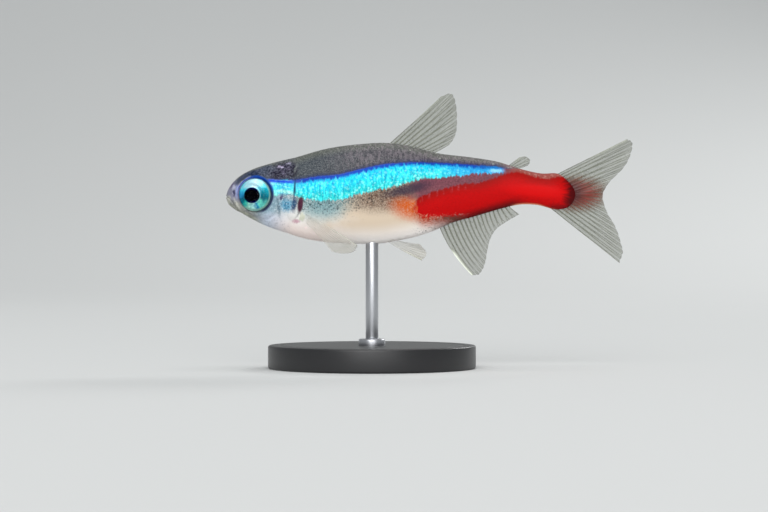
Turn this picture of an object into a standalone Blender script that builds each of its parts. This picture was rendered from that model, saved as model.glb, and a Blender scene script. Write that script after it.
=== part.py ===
"""A neon tetra at life size, swimming, held over a small round base by one rod.

The fish is designed in millimetres on its own axis: X runs from the snout towards the tail, Y points to
its right side and Z up, with the axis through the pupil. settle() moves each finished mesh into metres,
over the centre of the base, with the snout towards -X and the left side towards -Y.
"""

import math

import bmesh
import bpy
import numpy as np
from mathutils import Matrix, Vector

MM = 0.001
GAP = 0.3  # between pieces that touch

# Driving sizes of the fish
STANDARD_LENGTH = 30.35  # snout to the end of the tail's flesh
SNOUT_LEVEL = -0.15
TAIL_LEVEL = 0.1

# Outline from the side: distance from the snout, height over the axis
BACK = [(0, SNOUT_LEVEL), (0.1, 0.38), (0.35, 0.82), (0.95, 1.48), (2.2, 2.21), (3.9, 2.76), (5.9, 3.25),
        (8.9, 4.07), (11.5, 4.42), (14.1, 4.52), (16.0, 4.24), (18.2, 3.66), (21.0, 3.31), (23.5, 2.91),
        (25.4, 2.32), (27.2, 1.92), (28.8, 1.88), (29.7, 1.24), (STANDARD_LENGTH, TAIL_LEVEL)]
BELLY = [(0, SNOUT_LEVEL), (0.08, -0.58), (0.22, -0.84), (0.55, -1.12), (1.2, -1.49), (2.2, -2.07),
         (3.5, -2.7), (4.9, -3.19), (6.9, -3.8), (8.5, -4.07), (9.8, -4.17), (11.8, -4.24), (13.4, -4.2),
         (14.6, -4.0), (16.3, -3.65), (17.8, -3.17), (19.4, -2.46), (21.6, -1.83), (23.6, -1.24),
         (25.4, -0.82), (26.8, -0.83), (28.6, -1.24), (29.7, -1.02), (STANDARD_LENGTH, TAIL_LEVEL)]
# Half the width, and the share of the depth at which the body is widest
HALF_WIDTH = [(0, 0), (0.3, 0.66), (1.0, 1.08), (2.4, 1.5), (4.0, 1.78), (6.5, 2.02), (9.5, 2.12),
              (12.5, 2.0), (15.5, 1.7), (19.0, 1.3), (22.5, 0.95), (25.5, 0.72), (28.4, 0.62),
              (29.7, 0.4), (STANDARD_LENGTH, 0)]
WIDEST_SHARE = [(0, 0.5), (3.0, 0.46), (8.0, 0.5), (15.0, 0.55), (22.0, 0.52), (STANDARD_LENGTH, 0.5)]
SECTION_POWER = 0.92  # under 1 makes the cross-section fuller than an ellipse

# The tail swings a little to the fish's right
SWING_START = 15.0
SWING_END = 35.0
SWING = 1.7

# Where the body is parted
GILL_EDGE = [(6.05, 5.0), (6.0, 3.2), (5.9, 1.5), (6.0, 0.3), (6.38, -0.9), (6.35, -1.5), (5.9, -2.05),
             (5.3, -2.9), (4.5, -4.5)]
TAIL_CUT = 25.75
HEAD_REACH = 7.4
TRUNK_START = 4.0

# Gill cover: its front edge, and how it lies on the head
COVER_FRONT = [(5.75, 1.62), (5.1, 1.35), (4.83, 0.6), (4.78, -0.4), (4.6, -1.15), (4.4, -1.75),
               (4.8, -2.18), (5.7, -2.3)]
COVER_LENGTH = (3.4, 7.6)  # of the body, from which its outline cuts it
BED_LENGTH = (2.0, 9.0)
COVER_REAR = 7.3  # past the gill edge, which trims it
COVER_RISE = 0.09
COVER_DEPTH = 0.45
COVER_INNER = -0.6  # sideways, past which neither the cover nor its bed reaches

# Mouth: its line from the front to the corner of the jaw, the lips along it and the slit
MOUTH = [(-0.3, -0.17), (0.05, -0.17), (0.35, -0.36), (0.6, -0.66), (0.82, -0.98), (1.02, -1.24)]
LIP_RISE = 0.09
LIP_WIDTH = 0.2
MOUTH_SLIT = 0.12
MOUTH_DEPTH = 0.28

# Nostril: place in the side view, and half its length, height and depth
NOSTRIL = (0.68, 0.15)
NOSTRIL_SIZE = (0.085, 0.19, 0.16)

# Eye
EYE_PLACE = 2.5
EYE_RADIUS = 1.42
EYE_DOME = 0.42
EYE_SINK = 0.16  # how far the rim's plane lies under the cheek
ORBIT_RISE = 0.07
ORBIT_RADIUS = 1.95
ORBIT_WIDTH = 0.28

# Fins
MEMBRANE = 0.5
MEMBRANE_TIP = 0.26
ROOT_DEPTH = 0.7
RAY_RISE = 0.09  # of a ray over the membrane beside it, at the root
RAY_FADE = 0.6  # share of that rise lost by the tip
SCALLOP = 0.035  # how far the membrane falls short of the ray tips, as a share of their length

# Stand
AXIS_HEIGHT = 15.0  # fish's axis over the underside of the base
ROD_PLACE = 12.6
ROD_RADIUS = 0.55
ROD_IN_BELLY = 1.3
ROD_IN_BASE = 1.2
BASE_RADIUS = 9.0
BASE_HEIGHT = 2.0
BASE_BEVEL = 0.35

# Fineness of the meshes
LINE_POINTS = 24  # of a smooth line in the side view
HEAD_RINGS = 30
HEAD_SIDES = 48
COVER_RINGS = 12
TRUNK_RINGS = 26
TRUNK_SIDES = 40
TAIL_RINGS = 12
TAIL_SIDES = 36
ROUND_SIDES = 24
BASE_SIDES = 64
EYE_SIDES = 28
EYE_RINGS = 12
PIT_SIDES = 12
PIT_RINGS = 8
FIN_STEPS = 6
POLE_REACH = 1e-6
CUTTER_REACH = 9.0  # past the fish's sides


def clear_scene():
    for obj in list(bpy.data.objects):
        bpy.data.objects.remove(obj, do_unlink=True)


def along_body(x):
    """Slows down near the snout and the tail's end, so that both come out round."""
    share = np.clip(np.asarray(x, float) / STANDARD_LENGTH, 0, 1)
    return np.arccos(1 - 2 * share) / math.pi


def as_it_is(x):
    return np.asarray(x, float)


def through(points, place=as_it_is):
    """A smooth curve through (x, value) points, as a function of x."""
    at = place([p[0] for p in points])
    values = np.array([p[1] for p in points], float)
    slopes = np.gradient(values, at)

    def value(x):
        p = np.clip(place(x), at[0], at[-1])
        i = np.clip(np.searchsorted(at, p, side="right") - 1, 0, len(at) - 2)
        width = at[i + 1] - at[i]
        t = (p - at[i]) / width
        start, end = (1 + 2 * t) * (1 - t) ** 2, t * t * (3 - 2 * t)
        leave, arrive = t * (1 - t) ** 2 * width, t * t * (t - 1) * width
        return start * values[i] + end * values[i + 1] + leave * slopes[i] + arrive * slopes[i + 1]

    return value


back = through(BACK, along_body)
belly = through(BELLY, along_body)
half_width = through(HALF_WIDTH, along_body)
widest_share = through(WIDEST_SHARE)


def signed_power(values, power):
    return np.sign(values) * np.abs(values) ** power


def body_point(x, angle):
    """Points of the skin at a distance from the snout and an angle from the back, turning to the left."""
    top, bottom = back(x), belly(x)
    level = bottom + widest_share(x) * (top - bottom)
    side = -half_width(x) * signed_power(np.sin(angle), SECTION_POWER)
    rise = signed_power(np.cos(angle), SECTION_POWER)
    height = level + np.where(rise > 0, top - level, level - bottom) * rise
    return np.stack([np.broadcast_to(x, side.shape), side, height], axis=-1)


def body_normal(x, angle):
    """The outward direction there, from two short steps over the skin."""
    step = 0.02
    low, high = np.clip(x - step, 0.001, None), np.clip(x + step, None, STANDARD_LENGTH - 0.001)
    lengthways = body_point(high, angle) - body_point(low, angle)
    around = body_point(x, angle + step) - body_point(x, angle - step)
    normal = np.cross(around, lengthways)
    return normal / np.linalg.norm(normal, axis=-1, keepdims=True)


def angle_at(x, height):
    """The angle on the left side at which the skin has this height."""
    angles = np.linspace(0, math.pi, 361)
    heights = body_point(np.full_like(angles, x), angles)[:, 2]
    return float(np.interp(-height, -heights, angles))


def mesh_object(name, points, faces):
    mesh = bpy.data.meshes.new(name)
    mesh.from_pydata([tuple(map(float, p)) for p in points], [], faces)
    obj = bpy.data.objects.new(name, mesh)
    bpy.context.scene.collection.objects.link(obj)
    work = bmesh.new()
    work.from_mesh(mesh)
    bmesh.ops.recalc_face_normals(work, faces=work.faces)
    work.to_mesh(mesh)
    work.free()
    return obj


def no_relief(points):
    return np.zeros(len(points))


def body_length(name, start, end, rings, sides, offset=0.0, relief=no_relief):
    """A closed length of the body, pushed out by offset and by what relief gives for each point.

    Its rings lie closer near the snout and the tail.
    """
    places = np.linspace(along_body(start), along_body(end), rings + 1)
    places = STANDARD_LENGTH * (1 - np.cos(math.pi * places)) / 2
    angles = np.arange(sides) * 2 * math.pi / sides
    poles = {0: (-offset, 0, SNOUT_LEVEL), STANDARD_LENGTH: (STANDARD_LENGTH + offset, 0, TAIL_LEVEL)}
    points, faces, rows = [], [], []
    for x in places:
        pole = [point for place, point in poles.items() if abs(x - place) < POLE_REACH]
        if pole:
            rows.append([len(points)])
            points.append(pole[0])
            continue
        at = np.full(sides, x)
        skin = body_point(at, angles)
        ring = skin + (offset + relief(skin))[:, None] * body_normal(at, angles)
        rows.append(list(range(len(points), len(points) + sides)))
        points.extend(ring)
    for row in (rows[0], rows[-1]):
        if len(row) > 1:
            row_points = np.array([points[i] for i in row])
            points.append(row_points.mean(axis=0))
            centre = len(points) - 1
            faces += [(centre, row[i], row[(i + 1) % sides]) for i in range(sides)]
    for one, two in zip(rows, rows[1:]):
        for i in range(sides):
            j = (i + 1) % sides
            if len(one) == 1:
                faces.append((one[0], two[i], two[j]))
            elif len(two) == 1:
                faces.append((one[i], one[j], two[0]))
            else:
                faces += [(one[i], one[j], two[j]), (one[i], two[j], two[i])]
    return mesh_object(name, points, faces)


def boolean(obj, other, operation, keep_other=False, solver="EXACT"):
    """Applies a Boolean of obj with other, and removes other unless it is kept."""
    modifier = obj.modifiers.new("cut", "BOOLEAN")
    modifier.operation = operation
    modifier.solver = solver
    modifier.object = other
    graph = bpy.context.evaluated_depsgraph_get()
    mesh = bpy.data.meshes.new_from_object(obj.evaluated_get(graph))
    obj.modifiers.clear()
    old = obj.data
    obj.data = mesh
    bpy.data.meshes.remove(old)
    if not keep_other:
        bpy.data.objects.remove(other, do_unlink=True)
    return obj


def keep_largest(obj):
    """Drops loose scraps that a cut leaves."""
    work = bmesh.new()
    work.from_mesh(obj.data)
    left, pieces = set(work.verts), []
    while left:
        piece, edge = set(), [left.pop()]
        while edge:
            vert = edge.pop()
            piece.add(vert)
            near = {e.other_vert(vert) for e in vert.link_edges} & left
            left -= near
            edge.extend(near)
        pieces.append(piece)
    pieces.sort(key=len)
    for piece in pieces[:-1]:
        bmesh.ops.delete(work, geom=list(piece), context="VERTS")
    work.to_mesh(obj.data)
    work.free()
    return obj


def prism(name, outline, low=-CUTTER_REACH, high=CUTTER_REACH):
    """A closed outline in the side view, given a width from low to high."""
    count = len(outline)
    points = [(x, low, z) for x, z in outline] + [(x, high, z) for x, z in outline]
    faces = [tuple(range(count)), tuple(range(count, 2 * count))[::-1]]
    faces += [(i, (i + 1) % count, (i + 1) % count + count, i + count) for i in range(count)]
    return mesh_object(name, points, faces)


def smooth_line(points, count=LINE_POINTS):
    """The same line with more points, rounded through the given ones."""
    share = np.linspace(0, 1, len(points))
    xs = through(list(zip(share, [p[0] for p in points])))
    zs = through(list(zip(share, [p[1] for p in points])))
    at = np.linspace(0, 1, count)
    return np.stack([xs(at), zs(at)], axis=1)


def shifted(line, distance):
    """A line moved sideways in the side view, towards the tail where it runs downwards."""
    ahead = np.gradient(line, axis=0)
    ahead /= np.linalg.norm(ahead, axis=1, keepdims=True)
    return line + distance * np.stack([-ahead[:, 1], ahead[:, 0]], axis=1)


def eye_axes():
    """The eye's centre on the cheek and the axes of its disc, on the left side."""
    angle = angle_at(EYE_PLACE, 0.0)
    at = np.array([EYE_PLACE])
    centre = Vector(body_point(at, np.array([angle]))[0])
    outward = Vector(body_normal(at, np.array([angle]))[0])
    outward = Vector((outward.x, outward.y, 0)).normalized()
    return centre - EYE_SINK * outward, outward


def ellipsoid(name, centre, outward, half_sizes, sides, rings):
    """A stretched ball. half_sizes are half its length, its height and its depth along outward."""
    bm = bmesh.new()
    bmesh.ops.create_uvsphere(bm, u_segments=sides, v_segments=rings, radius=1)
    turn = outward.to_track_quat("Z", "Y").to_matrix().to_4x4()
    size = Matrix.Diagonal((*half_sizes, 1))
    bmesh.ops.transform(bm, matrix=Matrix.Translation(centre) @ turn @ size, verts=bm.verts)
    mesh = bpy.data.meshes.new(name)
    bm.to_mesh(mesh)
    bm.free()
    obj = bpy.data.objects.new(name, mesh)
    bpy.context.scene.collection.objects.link(obj)
    return obj


def mirrored(obj, name):
    """A copy on the fish's other side."""
    copy = bpy.data.objects.new(name, obj.data.copy())
    bpy.context.scene.collection.objects.link(copy)
    copy.data.transform(Matrix.Diagonal((1, -1, 1, 1)))
    copy.data.flip_normals()
    return copy


def distance_to(line, points):
    """How far points are from a line in the side view."""
    nearest = np.full(len(points), np.inf)
    for start, end in zip(line, line[1:]):
        along = end - start
        share = np.clip((points - start) @ along / (along @ along), 0, 1)
        nearest = np.minimum(nearest, np.linalg.norm(points - start - share[:, None] * along, axis=1))
    return nearest


def head_relief(skin):
    """The lips along the mouth, and the rim of the orbit."""
    side_view = skin[:, [0, 2]]
    lips = LIP_RISE * np.exp(-(distance_to(smooth_line(MOUTH), side_view) / LIP_WIDTH) ** 2)
    centre, _ = eye_axes()
    from_eye = np.linalg.norm(side_view - np.array([centre.x, centre.z]), axis=1)
    rim = ORBIT_RISE * np.exp(-((from_eye - ORBIT_RADIUS) / ORBIT_WIDTH) ** 2)
    return lips + rim


def from_gill_edge(name, shift, far):
    """All that lies on one side of the gill edge moved by shift: ahead of it or behind it, as far is."""
    line = shifted(smooth_line(GILL_EDGE), shift)
    return prism(name, [*line, (far, line[-1][1]), (far, line[0][1])])


def cover_outline(growth=0.0):
    """A gill cover's outline in the side view, from top to bottom along its front edge."""
    front = shifted(smooth_line(COVER_FRONT), -growth)
    return [*front, (COVER_REAR, front[-1][1]), (COVER_REAR, front[0][1])]


def make_gill_covers():
    """A thin plate on each side of the head, which ends at the gill edge."""
    cover = body_length("gill_cover_left", *COVER_LENGTH, COVER_RINGS, HEAD_SIDES, COVER_RISE)
    boolean(cover, prism("cover_outline", cover_outline(), high=COVER_INNER), "INTERSECT")
    boolean(cover, body_length("inside", *BED_LENGTH, COVER_RINGS, HEAD_SIDES, -COVER_DEPTH), "DIFFERENCE")
    boolean(cover, from_gill_edge("behind_gills", 0, STANDARD_LENGTH), "DIFFERENCE")
    keep_largest(cover)
    return [cover, mirrored(cover, "gill_cover_right")]


def cut_both_sides(head, cutter):
    """Cuts the left side's cutter and its mirror image from the head."""
    boolean(head, mirrored(cutter, "right_cutter"), "DIFFERENCE")
    boolean(head, cutter, "DIFFERENCE")


def cut_cover_beds(head):
    """The recess in each side of the head in which a gill cover lies."""
    bed = prism("bed", cover_outline(GAP), high=COVER_INNER)
    under = body_length("inside", *BED_LENGTH, COVER_RINGS, HEAD_SIDES, -COVER_DEPTH - GAP)
    boolean(bed, under, "DIFFERENCE")
    cut_both_sides(head, bed)


def cut_eye_sockets(head):
    socket_sizes = (EYE_RADIUS + GAP, EYE_RADIUS + GAP, EYE_DOME + GAP)
    cut_both_sides(head, ellipsoid("socket", *eye_axes(), socket_sizes, EYE_SIDES, EYE_RINGS))


def cut_mouth(head):
    """A shallow slit that follows the mouth round the snout."""
    line = smooth_line(MOUTH)
    half = MOUTH_SLIT / 2
    slit = prism("mouth_slit", [*shifted(line, -half), *shifted(line, half)[::-1]])
    boolean(slit, body_length("inside", 0, TRUNK_START, HEAD_RINGS, HEAD_SIDES, -MOUTH_DEPTH), "DIFFERENCE")
    boolean(head, slit, "DIFFERENCE")


def cut_nostrils(head):
    """A small upright pit on each side, between the snout and the eye."""
    place, height = NOSTRIL
    at, angle = np.array([place]), np.array([angle_at(place, height)])
    centre = Vector(body_point(at, angle)[0])
    outward = Vector(body_normal(at, angle)[0])
    cut_both_sides(head, ellipsoid("nostril", centre, outward, NOSTRIL_SIZE, PIT_SIDES, PIT_RINGS))


def make_body():
    """Head, trunk and tail, parted along the gill edge and behind the anal fin."""
    head = body_length("head", 0, HEAD_REACH, HEAD_RINGS, HEAD_SIDES, relief=head_relief)
    boolean(head, from_gill_edge("behind_gills", 0, STANDARD_LENGTH), "DIFFERENCE")
    cut_cover_beds(head)
    cut_eye_sockets(head)
    cut_mouth(head)
    cut_nostrils(head)

    trunk = body_length("trunk", TRUNK_START, TAIL_CUT, TRUNK_RINGS, TRUNK_SIDES)
    boolean(trunk, from_gill_edge("ahead_of_gills", GAP, 0), "DIFFERENCE")
    hole_top = float(belly(ROD_PLACE)) + ROD_IN_BELLY + GAP
    hole = cylinder("rod_hole", ROD_RADIUS + GAP, -AXIS_HEIGHT, hole_top, ROUND_SIDES)
    boolean(trunk, hole, "DIFFERENCE")

    tail = body_length("tail", TAIL_CUT + GAP, STANDARD_LENGTH, TAIL_RINGS, TAIL_SIDES)
    return [keep_largest(head), keep_largest(trunk), tail]


def make_eyes():
    left = ellipsoid("eye_left", *eye_axes(), (EYE_RADIUS, EYE_RADIUS, EYE_DOME), EYE_SIDES, EYE_RINGS)
    return [left, mirrored(left, "eye_right")]


def cylinder(name, radius, bottom, top, sides):
    """An upright cylinder on the rod's line."""
    bm = bmesh.new()
    height = top - bottom
    bmesh.ops.create_cone(bm, cap_ends=True, segments=sides, radius1=radius, radius2=radius, depth=height)
    bmesh.ops.translate(bm, vec=(ROD_PLACE, 0, (top + bottom) / 2), verts=bm.verts)
    mesh = bpy.data.meshes.new(name)
    bm.to_mesh(mesh)
    bm.free()
    obj = bpy.data.objects.new(name, mesh)
    bpy.context.scene.collection.objects.link(obj)
    return obj


def curve_of(points):
    """A function from 0..1 to a smooth line through points of any dimension."""
    share = np.linspace(0, 1, len(points))
    parts = [through(list(zip(share, column))) for column in zip(*points)]
    return lambda v: np.stack([part(v) for part in parts], axis=-1)


def fin(name, roots, tips, rays, steps=FIN_STEPS, depth=ROOT_DEPTH, bow=0.0):
    """A fin as one plate. Each ray runs from the root line to the tip line, and stands out as a ridge.

    roots and tips are points in fish space, from the leading edge to the trailing one. Both faces have the
    same triangles.
    """
    columns = 2 * rays - 1
    share = np.linspace(0, 1, columns)
    root, tip = curve_of(roots)(share), curve_of(tips)(share)
    is_ray = np.arange(columns) % 2 == 0
    length = np.linalg.norm(tip - root, axis=1, keepdims=True)
    ahead = (tip - root) / length
    valley = np.where(is_ray, 0, SCALLOP)[:, None] * length
    along = np.linspace(0, 1, steps + 1)
    across = np.gradient(root + tip, axis=0)
    across /= np.linalg.norm(across, axis=1, keepdims=True)
    middle = np.empty((columns, steps + 1, 3))
    for j, u in enumerate(along):
        reach = -depth + u * (length - valley + depth)
        middle[:, j] = root + ahead * reach - across * bow * length * (4 * u * (1 - u))
    to_tip, to_next = np.gradient(middle, axis=1), np.gradient(middle, axis=0)
    normal = np.cross(to_tip, to_next)
    normal /= np.linalg.norm(normal, axis=2, keepdims=True)
    taper = MEMBRANE + (MEMBRANE_TIP - MEMBRANE) * along**1.5
    crest = np.where(is_ray, RAY_RISE, 0)[:, None] * (1 - RAY_FADE * along)[None, :]
    half = (taper[None, :] / 2 + crest)[:, :, None]
    one, two = middle + half * normal, middle - half * normal
    count = columns * (steps + 1)
    points = np.concatenate([one.reshape(-1, 3), two.reshape(-1, 3)])
    index = np.arange(count).reshape(columns, steps + 1)
    faces = []
    for i in range(columns - 1):
        for j in range(steps):
            a, b, c, d = index[i, j], index[i + 1, j], index[i + 1, j + 1], index[i, j + 1]
            faces += [(a, b, c), (a, c, d)]
            faces += [(a + count, c + count, b + count), (a + count, d + count, c + count)]
    border = [*index[:, 0], *index[-1, 1:], *index[-2::-1, -1], *index[0, -2:0:-1]]
    for a, b in zip(border, border[1:] + border[:1]):
        faces += [(a, b + count, b), (a, a + count, b + count)]
    return mesh_object(name, points, [tuple(map(int, f)) for f in faces])


def in_plane(points):
    """Side-view points on the fish's middle plane."""
    return [(x, 0.0, z) for x, z in points]


def rooted(obj, clearance):
    """Cuts a fin clear of the body, face to face."""
    boolean(obj, clearance, "DIFFERENCE", keep_other=True, solver="MANIFOLD")
    return keep_largest(obj)


def on_back(places):
    return [(x, 0.0, float(back(x))) for x in places]


def on_belly(places):
    return [(x, 0.0, float(belly(x))) for x in places]


def make_fins():
    """All the fins, each from the leading ray to the last."""
    rings = HEAD_RINGS + TRUNK_RINGS
    clearance = body_length("clearance", 0, STANDARD_LENGTH, rings, TRUNK_SIDES, GAP)
    dorsal_tips = in_plane([(18.65, 8.6), (19.4, 8.84), (19.8, 8.4), (19.95, 7.5), (20.0, 6.5), (19.95, 5.6),
                            (19.7, 4.9), (19.3, 4.35)])
    dorsal = fin("fin_dorsal", on_back(np.linspace(14.15, 18.1, 5)), dorsal_tips, 11, bow=-0.03)
    adipose_tips = in_plane([(25.4, 3.3), (25.95, 3.38), (26.3, 3.12), (26.3, 2.8), (26.15, 2.58)])
    adipose = fin("fin_adipose", on_back([24.5, 24.95, 25.4]), adipose_tips, 5, steps=4, depth=0)
    anal_tips = in_plane([(21.25, -6.98), (21.95, -6.85), (22.4, -6.0), (22.6, -4.9), (22.85, -3.85),
                          (23.4, -2.95), (24.3, -2.3), (25.4, -1.65)])
    anal = fin("fin_anal", on_belly(np.linspace(18.55, 24.6, 6)), anal_tips, 16, bow=0.03)
    upper_roots = in_plane([(28.6, 1.8), (29.6, 1.2), (30.2, 0.3)])
    upper_tips = in_plane([(34.7, 4.86), (35.0, 4.45), (34.95, 3.5), (34.45, 2.5), (33.6, 1.6), (32.85, 0.85),
                           (32.5, 0.14)])
    upper = fin("fin_caudal_upper", upper_roots, upper_tips, 10, bow=-0.03)
    lower_roots = in_plane([(28.1, -1.1), (29.4, -0.95), (30.2, -0.18)])
    lower_tips = in_plane([(33.95, -5.88), (34.25, -5.2), (34.15, -4.1), (33.75, -2.95), (33.2, -1.9),
                           (32.7, -1.0), (32.5, -0.3)])
    lower = fin("fin_caudal_lower", lower_roots, lower_tips, 9, bow=0.05)
    pelvic = fin("fin_pelvic_left",
                 [(14.0, -0.5, -4.05), (14.35, -0.6, -4.0), (14.7, -0.75, -3.9)],
                 [(17.35, -1.3, -5.75), (17.8, -1.45, -5.2), (17.65, -1.6, -4.65), (17.1, -1.75, -4.25)],
                 8, bow=0.02)
    pectoral = fin("fin_pectoral_left",
                   [(6.75, -1.85, -1.6), (6.8, -1.75, -2.0), (6.9, -1.6, -2.4)],
                   [(11.35, -2.6, -4.35), (11.1, -2.75, -4.85), (10.3, -2.85, -5.1), (9.2, -2.9, -4.95)],
                   11, bow=0.02)
    made = [rooted(f, clearance) for f in (dorsal, adipose, anal, upper, lower, pelvic, pectoral)]
    bpy.data.objects.remove(clearance, do_unlink=True)
    made.append(mirrored(pelvic, "fin_pelvic_right"))
    made.append(mirrored(pectoral, "fin_pectoral_right"))
    return made


def make_stand():
    """A round base with a socket, and a rod from it into the belly."""
    floor = -AXIS_HEIGHT
    base = cylinder("stand_base", BASE_RADIUS, floor, floor + BASE_HEIGHT, BASE_SIDES)
    bevel = base.modifiers.new("edge", "BEVEL")
    bevel.width = BASE_BEVEL
    bevel.segments = 2
    bevel.limit_method = "ANGLE"
    rod_bottom = floor + BASE_HEIGHT - ROD_IN_BASE
    boolean(base, cylinder("socket", ROD_RADIUS + GAP, rod_bottom - GAP, 0, ROUND_SIDES), "DIFFERENCE")
    rod_top = float(belly(ROD_PLACE)) + ROD_IN_BELLY
    rod = cylinder("stand_rod", ROD_RADIUS, rod_bottom, rod_top, ROUND_SIDES)
    return [base, rod]


def swing(x):
    """How far the tail's swing has moved the fish to its right."""
    share = np.clip((x - SWING_START) / (SWING_END - SWING_START), 0, None)
    return SWING * share**2


def settle(obj):
    """From fish space in millimetres to the model's place in metres."""
    for vert in obj.data.vertices:
        x, y, z = vert.co
        vert.co = (MM * (x - ROD_PLACE), MM * (y + float(swing(x))), MM * (z + AXIS_HEIGHT))
    obj.data.shade_smooth()
    obj.data.set_sharp_from_angle(angle=math.radians(40))


def material(name, colour, roughness, metallic):
    made = bpy.data.materials.new(name)
    made.use_nodes = True
    shader = made.node_tree.nodes["Principled BSDF"]
    shader.inputs["Base Color"].default_value = (*colour, 1)
    shader.inputs["Roughness"].default_value = roughness
    shader.inputs["Metallic"].default_value = metallic
    made.diffuse_color = (*colour, 1)
    return made


def paint(obj):
    """Each piece gets a material of its own, in the colour that it mostly has."""
    looks = {
        "head": ((0.35, 0.45, 0.5), 0.35, 0.2),
        "gill": ((0.45, 0.6, 0.66), 0.3, 0.3),
        "trunk": ((0.05, 0.5, 0.62), 0.3, 0.3),
        "tail": ((0.6, 0.01, 0.005), 0.35, 0.0),
        "eye": ((0.1, 0.55, 0.6), 0.1, 0.4),
        "fin": ((0.45, 0.47, 0.42), 0.4, 0.0),
        "stand_base": ((0.02, 0.02, 0.022), 0.35, 0.0),
        "stand_rod": ((0.6, 0.6, 0.6), 0.25, 1.0),
    }
    key = max((k for k in looks if obj.name.startswith(k)), key=len)
    obj.data.materials.clear()
    obj.data.materials.append(material(obj.name, *looks[key]))


def main():
    clear_scene()
    nodes = make_body() + make_gill_covers() + make_eyes() + make_fins() + make_stand()
    for obj in nodes:
        settle(obj)
        paint(obj)


main()
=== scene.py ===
# %% [markdown]
# A neon tetra on a small display stand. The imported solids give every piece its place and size. This script
# dresses them: one skin over head, trunk and tail, a coat of scales, eyes with a clear front, thin fins with
# branching rays, and a painted base with a steel rod.

# %% Load the solids
import math

import bpy
import numpy as np
from mathutils import Matrix, Vector


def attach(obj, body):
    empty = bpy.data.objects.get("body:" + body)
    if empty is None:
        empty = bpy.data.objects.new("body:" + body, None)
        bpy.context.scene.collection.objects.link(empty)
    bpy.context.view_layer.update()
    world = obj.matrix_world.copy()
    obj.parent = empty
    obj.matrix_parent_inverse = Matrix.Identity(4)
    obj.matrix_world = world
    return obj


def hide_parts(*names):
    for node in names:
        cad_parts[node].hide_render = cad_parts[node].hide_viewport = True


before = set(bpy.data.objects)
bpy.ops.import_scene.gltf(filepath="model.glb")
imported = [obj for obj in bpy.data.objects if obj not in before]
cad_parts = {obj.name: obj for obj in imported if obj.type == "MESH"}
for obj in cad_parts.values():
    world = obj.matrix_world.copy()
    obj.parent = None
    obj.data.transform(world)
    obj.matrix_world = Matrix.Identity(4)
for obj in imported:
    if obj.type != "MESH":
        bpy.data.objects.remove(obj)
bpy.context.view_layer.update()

# %% [markdown]
# The fish is thought out in millimetres on its own axis: X from the snout to the tail, Y to its right side,
# Z up, with the axis through the pupil. A few heights along the body give its outline, and smooth curves run
# through them. They are the solids' own sizes, so the skin lies where the solids are.

# %% Sizes of the body, in millimetres
MM = 0.001
STANDARD_LENGTH = 30.35
SNOUT_LEVEL = -0.15
TAIL_LEVEL = 0.1
BACK = [(0, SNOUT_LEVEL), (0.1, 0.38), (0.35, 0.82), (0.95, 1.48), (2.2, 2.21), (3.9, 2.76), (5.9, 3.25),
        (8.9, 4.07), (11.5, 4.42), (14.1, 4.52), (16.0, 4.24), (18.2, 3.66), (21.0, 3.31), (23.5, 2.91),
        (25.4, 2.32), (27.2, 1.92), (28.8, 1.88), (29.7, 1.24), (STANDARD_LENGTH, TAIL_LEVEL)]
BELLY = [(0, SNOUT_LEVEL), (0.08, -0.58), (0.22, -0.84), (0.55, -1.12), (1.2, -1.49), (2.2, -2.07),
         (3.5, -2.7), (4.9, -3.19), (6.9, -3.8), (8.5, -4.07), (9.8, -4.17), (11.8, -4.24), (13.4, -4.2),
         (14.6, -4.0), (16.3, -3.65), (17.8, -3.17), (19.4, -2.46), (21.6, -1.83), (23.6, -1.24),
         (25.4, -0.82), (26.8, -0.83), (28.6, -1.24), (29.7, -1.02), (STANDARD_LENGTH, TAIL_LEVEL)]
HALF_WIDTH = [(0, 0), (0.3, 0.66), (1.0, 1.08), (2.4, 1.5), (4.0, 1.78), (6.5, 2.02), (9.5, 2.12),
              (12.5, 2.0), (15.5, 1.7), (19.0, 1.3), (22.5, 0.95), (25.5, 0.72), (28.4, 0.62),
              (29.7, 0.4), (STANDARD_LENGTH, 0)]
WIDEST_SHARE = [(0, 0.5), (3.0, 0.46), (8.0, 0.5), (15.0, 0.55), (22.0, 0.52), (STANDARD_LENGTH, 0.5)]
SECTION_POWER = 0.92
SWING_START = 15.0
SWING_END = 35.0
SWING = 1.7
AXIS_HEIGHT = 15.0
ROD_PLACE = 12.6


def along_body(x):
    """From 0 at the snout to 1 at the tail's end, slow at both, so that both come out round."""
    share = np.clip(np.asarray(x, float) / STANDARD_LENGTH, 0, 1)
    return np.arccos(1 - 2 * share) / math.pi


def through(points, place=np.asarray):
    """A smooth curve through (x, value) points, as a function of x."""
    known, values = np.array(points, float).T
    at = place(known)
    slopes = np.gradient(values, at)

    def value(x):
        p = np.clip(place(x), at[0], at[-1])
        i = np.clip(np.searchsorted(at, p, side="right") - 1, 0, len(at) - 2)
        width = at[i + 1] - at[i]
        t = (p - at[i]) / width
        start, end = (1 + 2 * t) * (1 - t) ** 2, t * t * (3 - 2 * t)
        leave, arrive = t * (1 - t) ** 2 * width, t * t * (t - 1) * width
        return start * values[i] + end * values[i + 1] + leave * slopes[i] + arrive * slopes[i + 1]

    return value


back = through(BACK, along_body)
belly = through(BELLY, along_body)
half_width = through(HALF_WIDTH, along_body)
widest_share = through(WIDEST_SHARE)
places = np.linspace(0, STANDARD_LENGTH, 400)
print("deepest", round(float(np.max(back(places) - belly(places))), 2), "mm, widest",
      round(2 * float(np.max(half_width(places))), 2), "mm")

# %% [markdown]
# Three questions come up for every piece: where is the skin at this place and angle, which way does it face,
# and at which angle has it a height seen from the side. row() then turns fish millimetres into the model's
# metres and adds the tail's swing.


# %% Places on the body
def signed_power(values, power):
    return np.sign(values) * np.abs(values) ** power


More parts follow.
